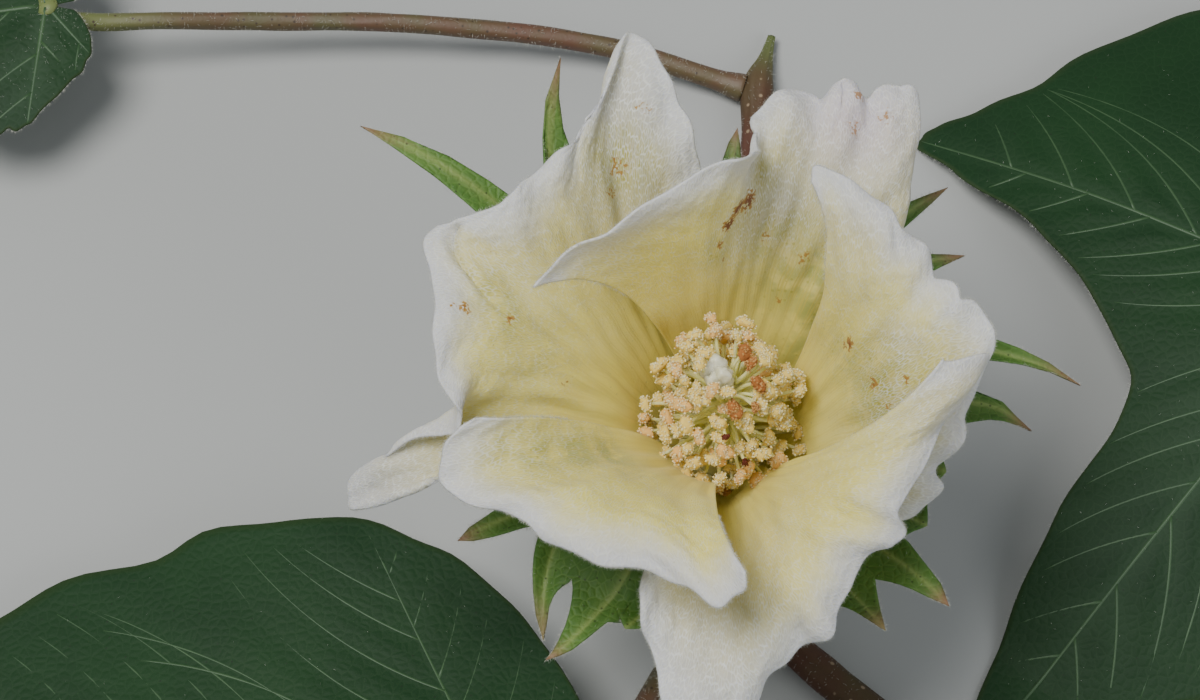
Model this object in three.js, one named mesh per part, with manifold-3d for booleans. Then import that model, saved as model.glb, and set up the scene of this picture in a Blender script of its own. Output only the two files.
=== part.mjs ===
// A cut flowering shoot of a cotton plant, in millimetres with +Z up, lying on a level surface.
// A piece of branch lies on its nodes. One open bloom with its calyx and bracts stands on a short
// stalk over the middle node, and three leaves on long stalks arch down to the surface round it.
import * as THREE from 'three';
import { mergeVertices } from 'three/addons/utils/BufferGeometryUtils.js';
import Module from 'manifold-3d';

const wasm = await Module();
wasm.setup();

const radians = THREE.MathUtils.degToRad;
const mix = THREE.MathUtils.lerp;
const smooth = (from, to, x) => THREE.MathUtils.smoothstep(x, from, to);

// The bloom's axis in the part's own frame, and the height of the receptacle's top over the surface.
const bloomX = 12.5;
const bloomY = 22.5;
const bloomLift = 28;
// Pieces that grow from one another keep this clearance.
const seatGap = 0.3;

// Petals: blade thickness, the ring of claws that they start on, and how far an overlapping edge is
// drawn towards the axis, or an overlapped one away from it.
const petalThickness = 0.7;
const petalRows = 8;
const columnsPerPoint = 2;
const clawRadius = 4.8;
const clawLift = 0.6;
const clawHalfSpan = 21;
const petalStack = 0.9;
const stackTurn = [0.25, 0.75];
const stackStart = 0.07;
// A petal widens from its claw to its throat over these shares of its length, and then fans out to
// its edge by this power of the length. Folds in the edge run down it by the last two values.
const throatTurn = [0.04, 0.2];
const fanPower = 2.6;
const foldWidth = 0.13;
const foldFade = 3;
// An upright petal reaches the first of these distances from the axis and a wide open one the second.
// The pairs below hold an upright and an open petal's flare and rise at the throat.
const openReach = [16, 40];
const throatFlare = [6.1, 3];
const throatRise = [0.3, 0.5];
const lipInThroat = 0.6;
// The shoulder, where the blade starts to arch over, as shares of its reach and of its height.
const shoulderReach = 0.62;
const shoulderPerLip = 0.014;
const shoulderRise = 0.92;

// Each petal in the order of overlap. throat holds the azimuths of its two side edges just above the
// claws, stack says whether each side lies over (+1) or under (-1) its neighbour, and edge follows the
// free edge as azimuth in degrees, distance from the axis, height and lip. The lip is how far the blade
// arches up before it turns over to the edge.
const petals = {
  petal_left: {
    throat: [212, 108], stack: [-1, -1], colour: 0xe6e2d3,
    edge: [
      [212, 27, 19, 6], [201, 31, 20, 10], [196, 42, 11, 17], [192, 41.6, 12, 17], [193, 34, 21, 9],
      [196.5, 29.2, 26, 5], [186, 30.5, 28, 4], [170, 31.4, 29, 4], [157, 34.4, 28, 6],
      [149, 28.7, 31, 3], [139, 28, 31, 3], [125, 28, 31, 3], [113, 32.1, 31, 4], [105, 38.6, 29, 6],
      [100, 31, 29, 4], [97, 23, 26, 3], [98, 17.5, 20, 2],
    ],
  },
  petal_top: {
    throat: [118, 25], stack: [1, -1], colour: 0xe8e3cf,
    edge: [
      [167, 21.2, 31, -2], [156, 19.2, 33, -2], [140, 16.2, 35, -2], [114, 15.6, 36, -2],
      [95, 16.5, 37, -1], [83, 18.3, 36, 0], [82, 21.5, 31, 3], [84, 26, 29, 6], [78, 29.5, 30, 8],
      [71, 31.2, 28, 8], [68, 33.2, 30, 9], [64, 33.6, 28, 8], [59, 36, 29, 8], [55, 36.5, 28, 8],
      [51, 32, 25, 6],
      [45, 26.5, 21, 4], [38, 22, 15, 3],
    ],
  },
  petal_upper_right: {
    throat: [28, -58], stack: [1, -1], colour: 0xe9e4cd,
    edge: [
      [67, 18.3, 36, 1], [59, 18.8, 36, 2], [49, 19.4, 35, 3], [37, 20.1, 34, 4], [29, 20.5, 33, 4],
      [25, 22.1, 32, 5], [17, 21.7, 30, 5], [11, 24.5, 31, 6], [5, 26.5, 30, 6], [0, 27.6, 29, 6],
      [-7, 26.4, 27, 6], [-18, 26.1, 22, 6], [-22, 24.3, 18, 6], [-25, 25.8, 16, 7], [-32, 24.4, 14, 6],
      [-37, 21.5, 13, 5], [-41, 18.1, 14, 3],
    ],
  },
  petal_lower_right: {
    throat: [-50, -108], stack: [1, -1], colour: 0xe9e5d2,
    edge: [
      [-5, 22.9, 33, 2], [-4.5, 26, 30, 7], [-14, 23.7, 27, 9], [-26, 22.9, 26, 8], [-44, 23.4, 25, 8],
      [-47, 25.6, 22, 9], [-55, 25, 22, 9], [-63, 26.5, 20, 10], [-70, 29.5, 18, 12], [-76, 30.5, 16, 13],
      [-82, 32.5, 15, 13], [-88, 36, 14, 12], [-95, 37.5, 15, 10], [-101, 36, 16, 9], [-105, 32, 18, 8],
      [-110, 28, 21, 5], [-113, 24, 22, 3],
    ],
  },
  petal_lower_left: {
    throat: [-98, -158], stack: [1, 1], colour: 0xeae6d4,
    edge: [
      [-86, 27.6, 30, 5], [-91, 28.3, 27.5, 7], [-99, 26.6, 27, 8], [-109, 26, 27, 8], [-120, 27, 27, 8],
      [-131, 28, 27, 8], [-139, 28.5, 27, 7], [-146, 31, 26, 7], [-154, 33, 25, 6], [-158, 31.5, 28, 3],
      [-160, 29.3, 30, 2],
    ],
  },
};

// Receptacle and bloom stalk.
const receptacleRadius = 6.7;
const receptacleHeight = 6;
const stalkRadius = 1.6;

// Calyx: its closed section as distance from the axis and height, and its five blunt lobes.
const calyxSection = [
  [7, -0.6], [7.7, -1.2], [9.8, 0.4], [11.4, 3], [12.5, 5.8], [11.8, 5.9], [10.6, 3.2], [9, 1],
];
const calyxLobes = 5;
const calyxLobeRise = 0.16;
const calyxRim = [2, 6];
const calyxSegments = 30;

// Bracts: section along the middle as length, distance from the axis and height. The columns of the
// blade fan out over its first stretch, and past the cup the height is taken down to each bract's own
// spread. teeth are azimuth from the middle and length.
const bractThickness = 0.6;
const bractRows = 6;
const bractRowPower = 1.5;
const bractSection = [
  [0, 5.4, -3.2], [4, 9.3, -2.6], [8, 12.8, 0.1], [14, 15.6, 5.4], [22, 20, 12], [34, 29.5, 18],
  [58, 51, 24],
];
const bractBody = 27;
const bractSideBody = 0.62;
const bractFoot = 0.9;
const bractFan = [0, 14];
const bractCup = [6, 26];
const bracts = {
  bract_upper: {
    middle: 118, spread: 0.9,
    teeth: [[52, 22], [39, 34], [25, 55], [11, 36], [-3, 47], [-17, 33], [-31, 37], [-46, 24]],
  },
  bract_right: {
    middle: -2, spread: 0.5,
    teeth: [[50, 43], [39, 37], [25, 31], [11, 45], [3, 39], [-12, 29], [-27, 28], [-41, 36], [-54, 33]],
  },
  bract_lower: {
    middle: -122, spread: 0.2,
    teeth: [[53, 20], [38, 25], [20, 26], [4, 32], [-5, 36], [-19, 27], [-36, 36], [-51, 23]],
  },
};

// Stamens: the column that their filaments stand on, and the stigma over it.
const columnFoot = 3.1;
const columnTip = 1.5;
const columnHeight = 17.6;
const columnTaper = 0.7;
const stamenCount = 46;
const filamentRoot = 0.9;
const filamentFeet = [6.5, 17];
const antherHeights = [9.8, 21];
const antherScatter = 0.5;
const antherCloud = { middle: 15.5, radius: 7.2, halfHeight: 7.6 };
const filamentRadius = 0.26;
const antherRadius = 0.95;
const goldenAngle = 137.5;
const stigmaLength = 5.2;
const stigmaRadius = 1.7;
const stigmaFurrows = 5;
const furrowDepth = 0.14;

// Branch: it lies on its swollen nodes. Each knot is a place and the radius there.
const nodeSwelling = 0.5;
const nodeLength = 3;
const cutEnd = [60, -67.5, 2.3];
const leafNode = [42, -47, 2.3];
const bloomNode = [4, -6, 2];
const tipNode = [6, 60, 1.6];
const budEnd = [8, 68, 0.5];
const nodeRadius = (node) => node[2] + nodeSwelling;

// Leaves: blade thickness, and the stalk's radius at its foot and under the blade.
const leafThickness = 1.2;
const leafRows = 6;
const leafArch = 1.7;
const petioleRadius = 1.3;
const petioleTopRadius = 1.1;
// The stalk's last stretch, in the notch behind the blade, as distance back from its top and drop.
const stalkUnderLeaf = [[26, 7], [14, 5.5], [5, 4.6], [0.6, 2.6]];
// Half of a leaf's outline, as angle from the middle lobe and share of its length, from how deep the
// bay between the lobes is cut and how long the side lobe is.
const sideLobe = 80;
const leafHalfOutline = (bay, side) => [
  [0, 1], [3, mix(1, bay, 0.2)], [9, mix(1, bay, 0.58)], [22, mix(1, bay, 0.86)], [42, bay],
  [57, mix(bay, side, 0.1)], [66, mix(bay, side, 0.38)], [73, mix(bay, side, 0.7)], [sideLobe, side],
  [86, 0.87 * side], [98, 0.73 * side], [113, 0.63 * side], [127, 0.55 * side], [140, 0.44 * side],
  [154, 0.31 * side], [167, 0.22 * side],
];
// foot is the top of the leaf's stalk, axis the azimuth of the middle lobe, route the stalk's way from
// its node. bays and sides hold the bay and side lobe towards smaller and towards larger azimuths.
const leaves = {
  leaf_left: {
    node: bloomNode, leave: 222, route: [[-3, -13, 5]], foot: [-20, -45, 15],
    axis: 243, length: 90, bays: [0.55, 0.55], sides: [1, 0.86],
  },
  leaf_right: {
    node: leafNode, leave: 42, route: [[56, -34, 4.5], [77, -24, 6], [94, -6, 7.5]], foot: [73.5, 25, 15],
    axis: 149, length: 56, bays: [0.83, 0.46], sides: [0.98, 1.2],
  },
  leaf_tip: {
    node: tipNode, leave: 176, route: [[-13, 65, 4], [-36, 67, 6]], foot: [-80.5, 65, 14],
    axis: 184, length: 46, bays: [0.4, 0.4], sides: [0.33, 0.33],
  },
};

// A smooth row of numbers through the given rows, for t from 0 at the first to 1 at the last.
function rowAlong(rows, t) {
  const place = THREE.MathUtils.clamp(t, 0, 1) * (rows.length - 1);
  const k = Math.min(Math.floor(place), rows.length - 2);
  const w = place - k;
  const at = (i) => rows[THREE.MathUtils.clamp(i, 0, rows.length - 1)];
  return rows[k].map((_, c) => {
    const [a, b, d, e] = [at(k - 1)[c], at(k)[c], at(k + 1)[c], at(k + 2)[c]];
    return b + 0.5 * w * (d - a + w * (2 * a - 5 * b + 4 * d - e + w * (3 * (b - d) + e - a)));
  });
}

// The rest of a row whose first number is x, from rows that are sorted by their first number.
function rowAt(rows, x) {
  let k = 0;
  while (k < rows.length - 2 && rows[k + 1][0] < x) k += 1;
  const w = (x - rows[k][0]) / (rows[k + 1][0] - rows[k][0]);
  return rowAlong(rows, (k + THREE.MathUtils.clamp(w, 0, 1)) / (rows.length - 1)).slice(1);
}

function polar(azimuth, distance, height) {
  return new THREE.Vector3(distance * Math.cos(azimuth), distance * Math.sin(azimuth), height);
}

function weld(geometry) {
  geometry.deleteAttribute('normal');
  geometry.deleteAttribute('uv');
  return mergeVertices(geometry, 1e-5);
}

function piece(name, geometry, colour, roughness = 0.6) {
  geometry.computeVertexNormals();
  const mesh = new THREE.Mesh(geometry, new THREE.MeshStandardMaterial({ color: colour, roughness }));
  mesh.name = name;
  return mesh;
}

// A thin closed blade over the middle surface point(u, v), a bent box of rows by columns.
const lowerSideGroup = 5;
function blade(point, rows, columns, thickness) {
  const geometry = weld(new THREE.BoxGeometry(1, 1, 1, rows, columns, 1));
  const place = geometry.attributes.position;
  const step = 1e-3;
  for (let i = 0; i < place.count; i += 1) {
    const u = place.getX(i) + 0.5;
    const v = place.getY(i) + 0.5;
    const alongRow = point(Math.min(u + step, 1), v).sub(point(Math.max(u - step, 0), v));
    const acrossRow = point(u, Math.min(v + step, 1)).sub(point(u, Math.max(v - step, 0)));
    const normal = alongRow.cross(acrossRow).normalize();
    const corner = point(u, v).addScaledVector(normal, place.getZ(i) * thickness);
    place.setXYZ(i, corner.x, corner.y, corner.z);
  }
  // The cells of the lower side are split along the same diagonals as those of the upper side, so that
  // the two sides stay parallel where the blade is twisted.
  const corners = geometry.index.array;
  const { start, count } = geometry.groups[lowerSideGroup];
  for (let k = start; k < start + count; k += 6) {
    const [a, b, d, , c] = corners.slice(k, k + 5);
    corners.set([a, b, c, a, c, d], k);
  }
  return geometry;
}

function smoothCurve(points) {
  return new THREE.CatmullRomCurve3(points, false, 'centripetal');
}

// A closed round limb along a curve, a bent cylinder whose radius follows radiusAt(t).
function limb(curve, radiusAt, sides, steps) {
  const geometry = weld(new THREE.CylinderGeometry(1, 1, 1, sides, steps));
  const place = geometry.attributes.position;
  const frames = curve.computeFrenetFrames(steps);
  for (let i = 0; i < place.count; i += 1) {
    const t = place.getY(i) + 0.5;
    const k = Math.round(t * steps);
    const radius = radiusAt(t);
    const corner = curve.getPointAt(t)
      .addScaledVector(frames.normals[k], place.getZ(i) * radius)
      .addScaledVector(frames.binormals[k], place.getX(i) * radius);
    place.setXYZ(i, corner.x, corner.y, corner.z);
  }
  return geometry;
}

function solid(geometry) {
  return new wasm.Manifold(new wasm.Mesh({
    numProp: 3,
    vertProperties: new Float32Array(geometry.attributes.position.array),
    triVerts: new Uint32Array(geometry.index.array),
  }));
}

function geometryOf(manifold) {
  const mesh = manifold.getMesh();
  const geometry = new THREE.BufferGeometry();
  geometry.setAttribute('position', new THREE.BufferAttribute(mesh.vertProperties, 3));
  geometry.setIndex(new THREE.BufferAttribute(mesh.triVerts, 1));
  return geometry;
}

// The free edge as the blade follows it at u: its folds fade towards the claw, and only its broad
// course, averaged over some width to both sides, is left there.
function edgeSeenFrom(edge, u, v) {
  const offsets = [-1, -0.5, 0, 0.5, 1].map((share) => share * foldWidth);
  const rows = offsets.map((offset) => rowAlong(edge, v + offset));
  return rowAlong(edge, v).map((exact, c) => {
    const broad = rows.reduce((sum, row) => sum + row[c], 0) / rows.length;
    return mix(broad, exact, u ** foldFade);
  });
}

// A cubic Bezier curve over four numbers.
function bezier([a, b, c, d], t) {
  const [ab, bc, cd] = [mix(a, b, t), mix(b, c, t), mix(c, d, t)];
  return mix(mix(ab, bc, t), mix(bc, cd, t), t);
}

// A petal's middle surface: u runs from the claw to the free edge, v along that edge. Each line of
// constant v is a Bezier curve in distance and height, steep in the throat and then turning outwards.
function petalPoint({ throat, stack, edge }, u, v) {
  const [edgeAzimuth, reach, rise, lip] = edgeSeenFrom(edge, u, v);
  const middle = (throat[0] + throat[1]) / 2;
  const clawAzimuth = middle + clawHalfSpan * (1 - 2 * v) * Math.sign(throat[0] - throat[1]);
  const throatAzimuth = mix(throat[0], throat[1], v);
  const lowAzimuth = mix(clawAzimuth, throatAzimuth, smooth(...throatTurn, u));
  const open = smooth(...openReach, reach);
  const across = [
    clawRadius,
    clawRadius + mix(...throatFlare, open),
    mix(clawRadius, reach, shoulderReach + shoulderPerLip * lip),
    reach,
  ];
  const up = [
    clawLift,
    clawLift + mix(...throatRise, open) * (rise + lipInThroat * lip),
    shoulderRise * rise + lip,
    rise,
  ];
  const [distance, height] = [bezier(across, u), bezier(up, u)];
  const step = 0.01;
  const ahead = new THREE.Vector2(bezier(across, u + step) - distance, bezier(up, u + step) - height);
  ahead.normalize();
  const drawn = petalStack * mix(...stack, smooth(...stackTurn, v)) * smooth(0, stackStart, u);
  const azimuth = radians(mix(lowAzimuth, edgeAzimuth, u ** fanPower));
  return polar(azimuth, distance - ahead.y * drawn, height + ahead.x * drawn);
}

function makePetal(name, petal) {
  const columns = (petal.edge.length - 1) * columnsPerPoint;
  const geometry = blade((u, v) => petalPoint(petal, u, v), petalRows, columns, petalThickness);
  return piece(name, geometry, petal.colour, 0.55);
}

// The calyx is a turned cup whose upper edge rises in five blunt lobes.
function makeCalyx() {
  const section = calyxSection.map(([r, z]) => new THREE.Vector2(r, z));
  const geometry = weld(new THREE.LatheGeometry([...section, section[0].clone()], calyxSegments));
  const place = geometry.attributes.position;
  for (let i = 0; i < place.count; i += 1) {
    const [x, height, z] = [place.getX(i), place.getY(i), place.getZ(i)];
    const lobe = 1 + calyxLobeRise * Math.cos(calyxLobes * Math.atan2(z, x)) * smooth(...calyxRim, height);
    place.setXYZ(i, x, -z, height * lobe);
  }
  return piece('calyx', geometry, 0x7f9a4a);
}

// A bract's columns run from its base to the tip of a tooth or to the notch between two.
function makeBract(name, { middle, spread, teeth }) {
  const columns = [];
  teeth.forEach(([azimuth, length], k) => {
    columns.push([azimuth, length]);
    if (k < teeth.length - 1) {
      const notch = (azimuth + teeth[k + 1][0]) / 2;
      columns.push([notch, bractBody * mix(1, bractSideBody, (notch / teeth[0][0]) ** 2)]);
    }
  });
  const last = columns.length - 1;
  const point = (u, v) => {
    const k = Math.min(Math.floor(v * last), last - 1);
    const [azimuth, length] = columns[k].map((start, c) => mix(start, columns[k + 1][c], v * last - k));
    const along = length * u ** bractRowPower;
    const [distance, height] = rowAt(bractSection, along);
    const fanned = middle + azimuth * mix(bractFoot, 1, smooth(...bractFan, along));
    return polar(radians(fanned), distance, height * mix(1, spread, smooth(...bractCup, along)));
  };
  return piece(name, blade(point, bractRows, last, bractThickness), 0x5f8136);
}

// The staminal column with its filaments and anthers, fused into one solid.
function makeStamens() {
  const upright = new THREE.Vector3(0, 1, 0);
  const [columnStart, columnEnd] = [seatGap, columnHeight].map((height) => new THREE.Vector3(0, 0, height));
  const column = new THREE.LineCurve3(columnStart, columnEnd);
  let body = solid(limb(column, (t) => mix(columnFoot, columnTip, t ** columnTaper), 12, 6));
  for (let i = 0; i < stamenCount; i += 1) {
    const share = (i + 0.5) / stamenCount;
    const azimuth = radians(i * goldenAngle);
    const foot = polar(azimuth, filamentRoot, mix(...filamentFeet, share));
    const height = mix(...antherHeights, share) + antherScatter * Math.sin(i * 2.3);
    const off = (height - antherCloud.middle) / antherCloud.halfHeight;
    const tip = polar(azimuth, antherCloud.radius * Math.sqrt(1 - off * off) + antherRadius, height);
    const filament = tip.clone().sub(foot);
    const length = filament.length();
    const club = [
      [0, 0], [filamentRadius, 0], [filamentRadius, length - 3 * antherRadius],
      [antherRadius, length - antherRadius], [0, length],
    ];
    const geometry = weld(new THREE.LatheGeometry(club.map(([r, y]) => new THREE.Vector2(r, y)), 4));
    geometry.applyQuaternion(new THREE.Quaternion().setFromUnitVectors(upright, filament.normalize()));
    geometry.translate(foot.x, foot.y, foot.z);
    body = body.add(solid(geometry));
  }
  return piece('staminal_column', geometryOf(body), 0xe8d9a4);
}

// The stigma is a club with shallow furrows.
function makeStigma() {
  const section = [[0, 0], [0.8, 0], [0.9, 0.35], [1, 0.7], [0.85, 0.93], [0, 1]];
  const profile = section.map(([share, rise]) => new THREE.Vector2(
    share * mix(stigmaRadius * 0.55, stigmaRadius, smooth(0.1, 0.7, rise)), rise * stigmaLength));
  const geometry = weld(new THREE.LatheGeometry(profile, stigmaFurrows * 4));
  const place = geometry.attributes.position;
  for (let i = 0; i < place.count; i += 1) {
    const [x, height, z] = [place.getX(i), place.getY(i), place.getZ(i)];
    const furrow = 1 + furrowDepth * Math.cos(stigmaFurrows * Math.atan2(z, x));
    place.setXYZ(i, x * furrow, -z * furrow, height + columnHeight + seatGap);
  }
  return piece('stigma', geometry, 0xf0ead2);
}

// The branch lies flat, thickened at each node, with a flat cut at one end and a bud at the other.
function makeBranch() {
  const knots = [cutEnd, leafNode, bloomNode, tipNode, budEnd];
  const [first, ...others] = knots.map((knot) => new THREE.Vector3(knot[0], knot[1], nodeRadius(knot)));
  const stations = [first];
  others.forEach((knot) => {
    const before = stations[stations.length - 1];
    stations.push(before.clone().lerp(knot, 0.5), knot);
  });
  const curve = smoothCurve(stations);
  const taper = knots.map(([, y, radius]) => [y, radius]);
  const radiusAt = (t) => {
    const here = curve.getPointAt(t);
    const swelling = [leafNode, bloomNode, tipNode].reduce((sum, [x, y]) => (
      sum + nodeSwelling * Math.exp(-(((here.x - x) ** 2 + (here.y - y) ** 2) / nodeLength ** 2))), 0);
    return rowAt(taper, here.y)[0] + swelling;
  };
  return piece('branch', limb(curve, radiusAt, 10, 38), 0x5a4636);
}

function makeBloomStalk() {
  const [x, y] = bloomNode;
  const foot = 2 * nodeRadius(bloomNode) + seatGap;
  const neck = bloomLift - receptacleHeight;
  const points = [
    [x, y, foot], [x, y, foot + 4], [0.4 * x, 0.4 * y, neck - 3], [0, 0, neck], [0, 0, bloomLift],
  ];
  const curve = smoothCurve(points.map((p) => new THREE.Vector3(...p)));
  const radiusAt = (t) => {
    const below = (bloomLift - curve.getPointAt(t).z) / receptacleHeight;
    return mix(stalkRadius, receptacleRadius, Math.max(0, 1 - below));
  };
  return piece('bloom_stalk', limb(curve, radiusAt, 14, 15), 0x6f8a3f);
}

function makeLeaf(name, { node, leave, foot, axis, length, bays, sides, route }) {
  const away = radians(leave);
  const outwards = nodeRadius(node) + 2 * seatGap;
  const [nodeX, nodeY] = node;
  const [x, y, z] = foot;
  const start = [nodeX + outwards * Math.cos(away), nodeY + outwards * Math.sin(away), nodeRadius(node)];
  const notch = radians(axis + 180);
  const under = ([back, drop]) => [x + back * Math.cos(notch), y + back * Math.sin(notch), z - drop];
  const points = [start, ...route, ...stalkUnderLeaf.map(under), [x, y, z + leafThickness / 2]];
  const curve = smoothCurve(points.map((p) => new THREE.Vector3(...p)));
  const steps = Math.max(22, Math.round(curve.getLength() / 3.5));
  const petiole = limb(curve, (t) => mix(petioleRadius, petioleTopRadius, smooth(0, 1, t)), 6, steps);
  const outline = [
    ...leafHalfOutline(bays[0], sides[0]).slice(1).map(([angle, share]) => [-angle, share]).reverse(),
    ...leafHalfOutline(bays[1], sides[1]),
  ];
  const inner = petioleTopRadius + 1.8 * seatGap;
  const tipLift = leafThickness / 2;
  const point = (u, v) => {
    const [angle, share] = rowAlong(outline, v);
    const distance = mix(inner, share * length, u);
    const fall = Math.min((distance / length) ** leafArch, 1);
    const spot = polar(radians(axis + angle), distance, mix(z, tipLift, fall));
    return spot.add(new THREE.Vector3(x, y, 0));
  };
  return [
    piece(name, blade(point, leafRows, outline.length - 1, leafThickness), 0x2f4f2c),
    piece(`${name}_stalk`, petiole, 0x74793f),
  ];
}

const bloom = new THREE.Group();
bloom.position.set(0, 0, bloomLift);
bloom.add(
  ...Object.entries(petals).map(([name, petal]) => makePetal(name, petal)),
  ...Object.entries(bracts).map(([name, bract]) => makeBract(name, bract)),
  makeCalyx(),
  makeStamens(),
  makeStigma(),
);

const shoot = new THREE.Group();
shoot.position.set(bloomX, bloomY, 0);
shoot.add(
  bloom,
  makeBloomStalk(),
  makeBranch(),
  ...Object.entries(leaves).flatMap(([name, leaf]) => makeLeaf(name, leaf)),
);

export default shoot;
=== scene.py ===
import math

import bpy
import numpy as np
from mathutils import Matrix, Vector


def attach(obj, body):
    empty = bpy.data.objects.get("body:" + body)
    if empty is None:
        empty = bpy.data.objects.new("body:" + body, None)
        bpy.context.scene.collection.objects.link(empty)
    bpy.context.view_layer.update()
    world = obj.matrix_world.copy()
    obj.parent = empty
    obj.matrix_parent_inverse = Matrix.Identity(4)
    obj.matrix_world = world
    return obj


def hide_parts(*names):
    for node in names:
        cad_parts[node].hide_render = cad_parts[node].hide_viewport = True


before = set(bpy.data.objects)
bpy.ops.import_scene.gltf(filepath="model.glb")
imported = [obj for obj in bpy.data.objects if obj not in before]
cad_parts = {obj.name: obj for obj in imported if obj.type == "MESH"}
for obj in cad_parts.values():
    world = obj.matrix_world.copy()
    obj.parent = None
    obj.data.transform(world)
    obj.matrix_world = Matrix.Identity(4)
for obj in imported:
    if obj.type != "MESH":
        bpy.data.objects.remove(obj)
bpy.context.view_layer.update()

# The branch is a cut piece of cotton stem, woody under thin red-brown bark with pale specks and a few
# ridges. It lies on its swollen nodes, where the bloom's stalk and the leaves' stalks grow from it.
MILLIMETRE = 0.001
shoot_place = np.array([12.5, 22.5, 0.0])
# Each end and node is its place on the table and the branch's radius there.
cut_end = (60, -67.5, 2.3)
leaf_node = (42, -47, 2.3)
bloom_node = (4, -6, 2.0)
tip_node = (6, 60, 1.6)
bud_end = (8, 68, 0.5)
node_swelling = 0.5
node_length = 3.0
bark_sides = 40
bark_steps = 420
bark_ridges = 9
ridge_height = 0.07
bark_unevenness = 0.05


def mix(a, b, t):
    return a + (b - a) * t


def smooth(start, end, x):
    t = np.clip((x - start) / (end - start), 0, 1)
    return t * t * (3 - 2 * t)


def length_of(vectors):
    return np.linalg.norm(vectors, axis=-1, keepdims=True)


def unit(vectors):
    return vectors / length_of(vectors)


def travelled(points, axis=0):
    """How far each point lies along its line, for one line of points or for the lines of a grid."""
    steps = length_of(np.diff(points, axis=axis))[..., 0]
    return np.insert(np.cumsum(steps, axis=axis), 0, 0, axis=axis)


def along_rows(rows, t):
    """A smooth row of numbers through the given rows, for t from 0 at the first to 1 at the last."""
    rows = np.asarray(rows, float)
    place = np.clip(t, 0, 1) * (len(rows) - 1)
    k = np.minimum(place.astype(int), len(rows) - 2)
    w = (place - k)[..., None]
    a, b, d, e = (rows[np.clip(k + step, 0, len(rows) - 1)] for step in (-1, 0, 1, 2))
    return b + 0.5 * w * (d - a + w * (2 * a - 5 * b + 4 * d - e + w * (3 * (b - d) + e - a)))


def at_first(rows, x):
    """The rest of a row whose first number is x, from rows that are sorted by their first number."""
    rows = np.asarray(rows, float)
    k = np.clip(np.searchsorted(rows[:, 0], x, side="left") - 1, 0, len(rows) - 2)
    w = np.clip((x - rows[k, 0]) / (rows[k + 1, 0] - rows[k, 0]), 0, 1)
    return along_rows(rows, (k + w) / (len(rows) - 1))[..., 1:]


def bumps(seed, *places):
    """Smooth random unevenness, mostly from -1 to 1, with about one bump to each unit of the places."""
    draw = np.random.default_rng(seed)
    total = 0.0
    for _ in range(9):
        direction = draw.normal(size=len(places))
        direction *= draw.uniform(2.0, 5.0) / np.linalg.norm(direction)
        total = total + np.sin(sum(d * p for d, p in zip(direction, places)) + draw.uniform(0, 2 * math.pi))
    return total / 3


def grown_course(points, steps):
    """Evenly spaced places on the smooth curve that a stalk takes through the given points."""
    knots = np.array(points, float)
    knots = np.vstack([2 * knots[0] - knots[1], knots, 2 * knots[-1] - knots[-2]])
    t = np.linspace(0, 1, 160, endpoint=False)[:, None]
    course = []
    for k in range(1, len(knots) - 2):
        before, start, end, after = knots[k - 1:k + 3]
        g0, g1, g2 = np.sqrt(np.linalg.norm([start - before, end - start, after - end], axis=1))
        leave = g1 * ((start - before) / g0 - (end - before) / (g0 + g1) + (end - start) / g1)
        arrive = g1 * ((end - start) / g1 - (after - start) / (g1 + g2) + (after - end) / g2)
        bend = 3 * (end - start) - 2 * leave - arrive
        turn = 2 * (start - end) + leave + arrive
        course.append(start + t * (leave + t * (bend + t * turn)))
    course = np.vstack(course + [knots[-2:-1]])
    way = travelled(course)
    places = np.linspace(0, way[-1], steps + 1)
    return np.stack([np.interp(places, way, course[:, axis]) for axis in range(3)], axis=1)


def ring_quads(rings, sides, closed=False):
    """Four-cornered faces between rings of points. Closed ones also join the last ring to the first."""
    ring, turn = np.meshgrid(np.arange(rings if closed else rings - 1), np.arange(sides), indexing="ij")
    here, there, after = ring * sides, (ring + 1) % rings * sides, (turn + 1) % sides
    return np.stack([here + turn, here + after, there + after, there + turn], axis=-1).reshape(-1, 4)


def limb_faces(rings, sides):
    """The faces of a closed limb, with a fan from one more point over each of its two ends."""
    first = np.arange(sides)
    last = first + (rings - 1) * sides
    fans = [np.stack([np.roll(first, -1), first, np.full(sides, rings * sides)], axis=1),
            np.stack([last, np.roll(last, -1), np.full(sides, rings * sides + 1)], axis=1)]
    return [ring_quads(rings, sides), np.vstack(fans)]


def wrapped_limb(course, radii, sides, relief=lambda along, around: 0):
    """A closed round limb on a course. relief lifts its skin, by the way along and the turn round it."""
    ahead = unit(np.gradient(course, axis=0))
    side = np.cross(ahead[0], [0.0, 0.0, 1.0] if abs(ahead[0][2]) < 0.9 else [1.0, 0.0, 0.0])
    frames = []
    for direction in ahead:
        side = unit(side - direction * side.dot(direction))
        frames.append((side, np.cross(direction, side)))
    frames = np.array(frames)
    along = travelled(course)[:, None]
    around = np.linspace(0, 2 * math.pi, sides, endpoint=False)[None, :]
    outward = frames[:, :1] * np.cos(around)[..., None] + frames[:, 1:] * np.sin(around)[..., None]
    radius = np.reshape(radii, (-1, 1)) + relief(along, around)
    rings = course[:, None] + outward * (radius + 0 * around)[..., None]
    return {
        "points": np.vstack([rings.reshape(-1, 3), course[:1], course[-1:]]),
        "faces": limb_faces(len(course), sides),
        "outward": np.vstack([outward.reshape(-1, 3), -ahead[:1], ahead[-1:]]),
        "share": np.concatenate([np.repeat(along / along[-1], sides), [0, 1]]),
    }


def joined(parts, *values):
    """Several parts as one: their points and faces, and the named values that lie on their points."""
    starts = np.cumsum([0] + [len(part["points"]) for part in parts])
    whole = {key: np.concatenate([part[key] for part in parts]) for key in ("points", *values)}
    whole["faces"] = [face + start for part, start in zip(parts, starts) for face in part["faces"]]
    return whole


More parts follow.
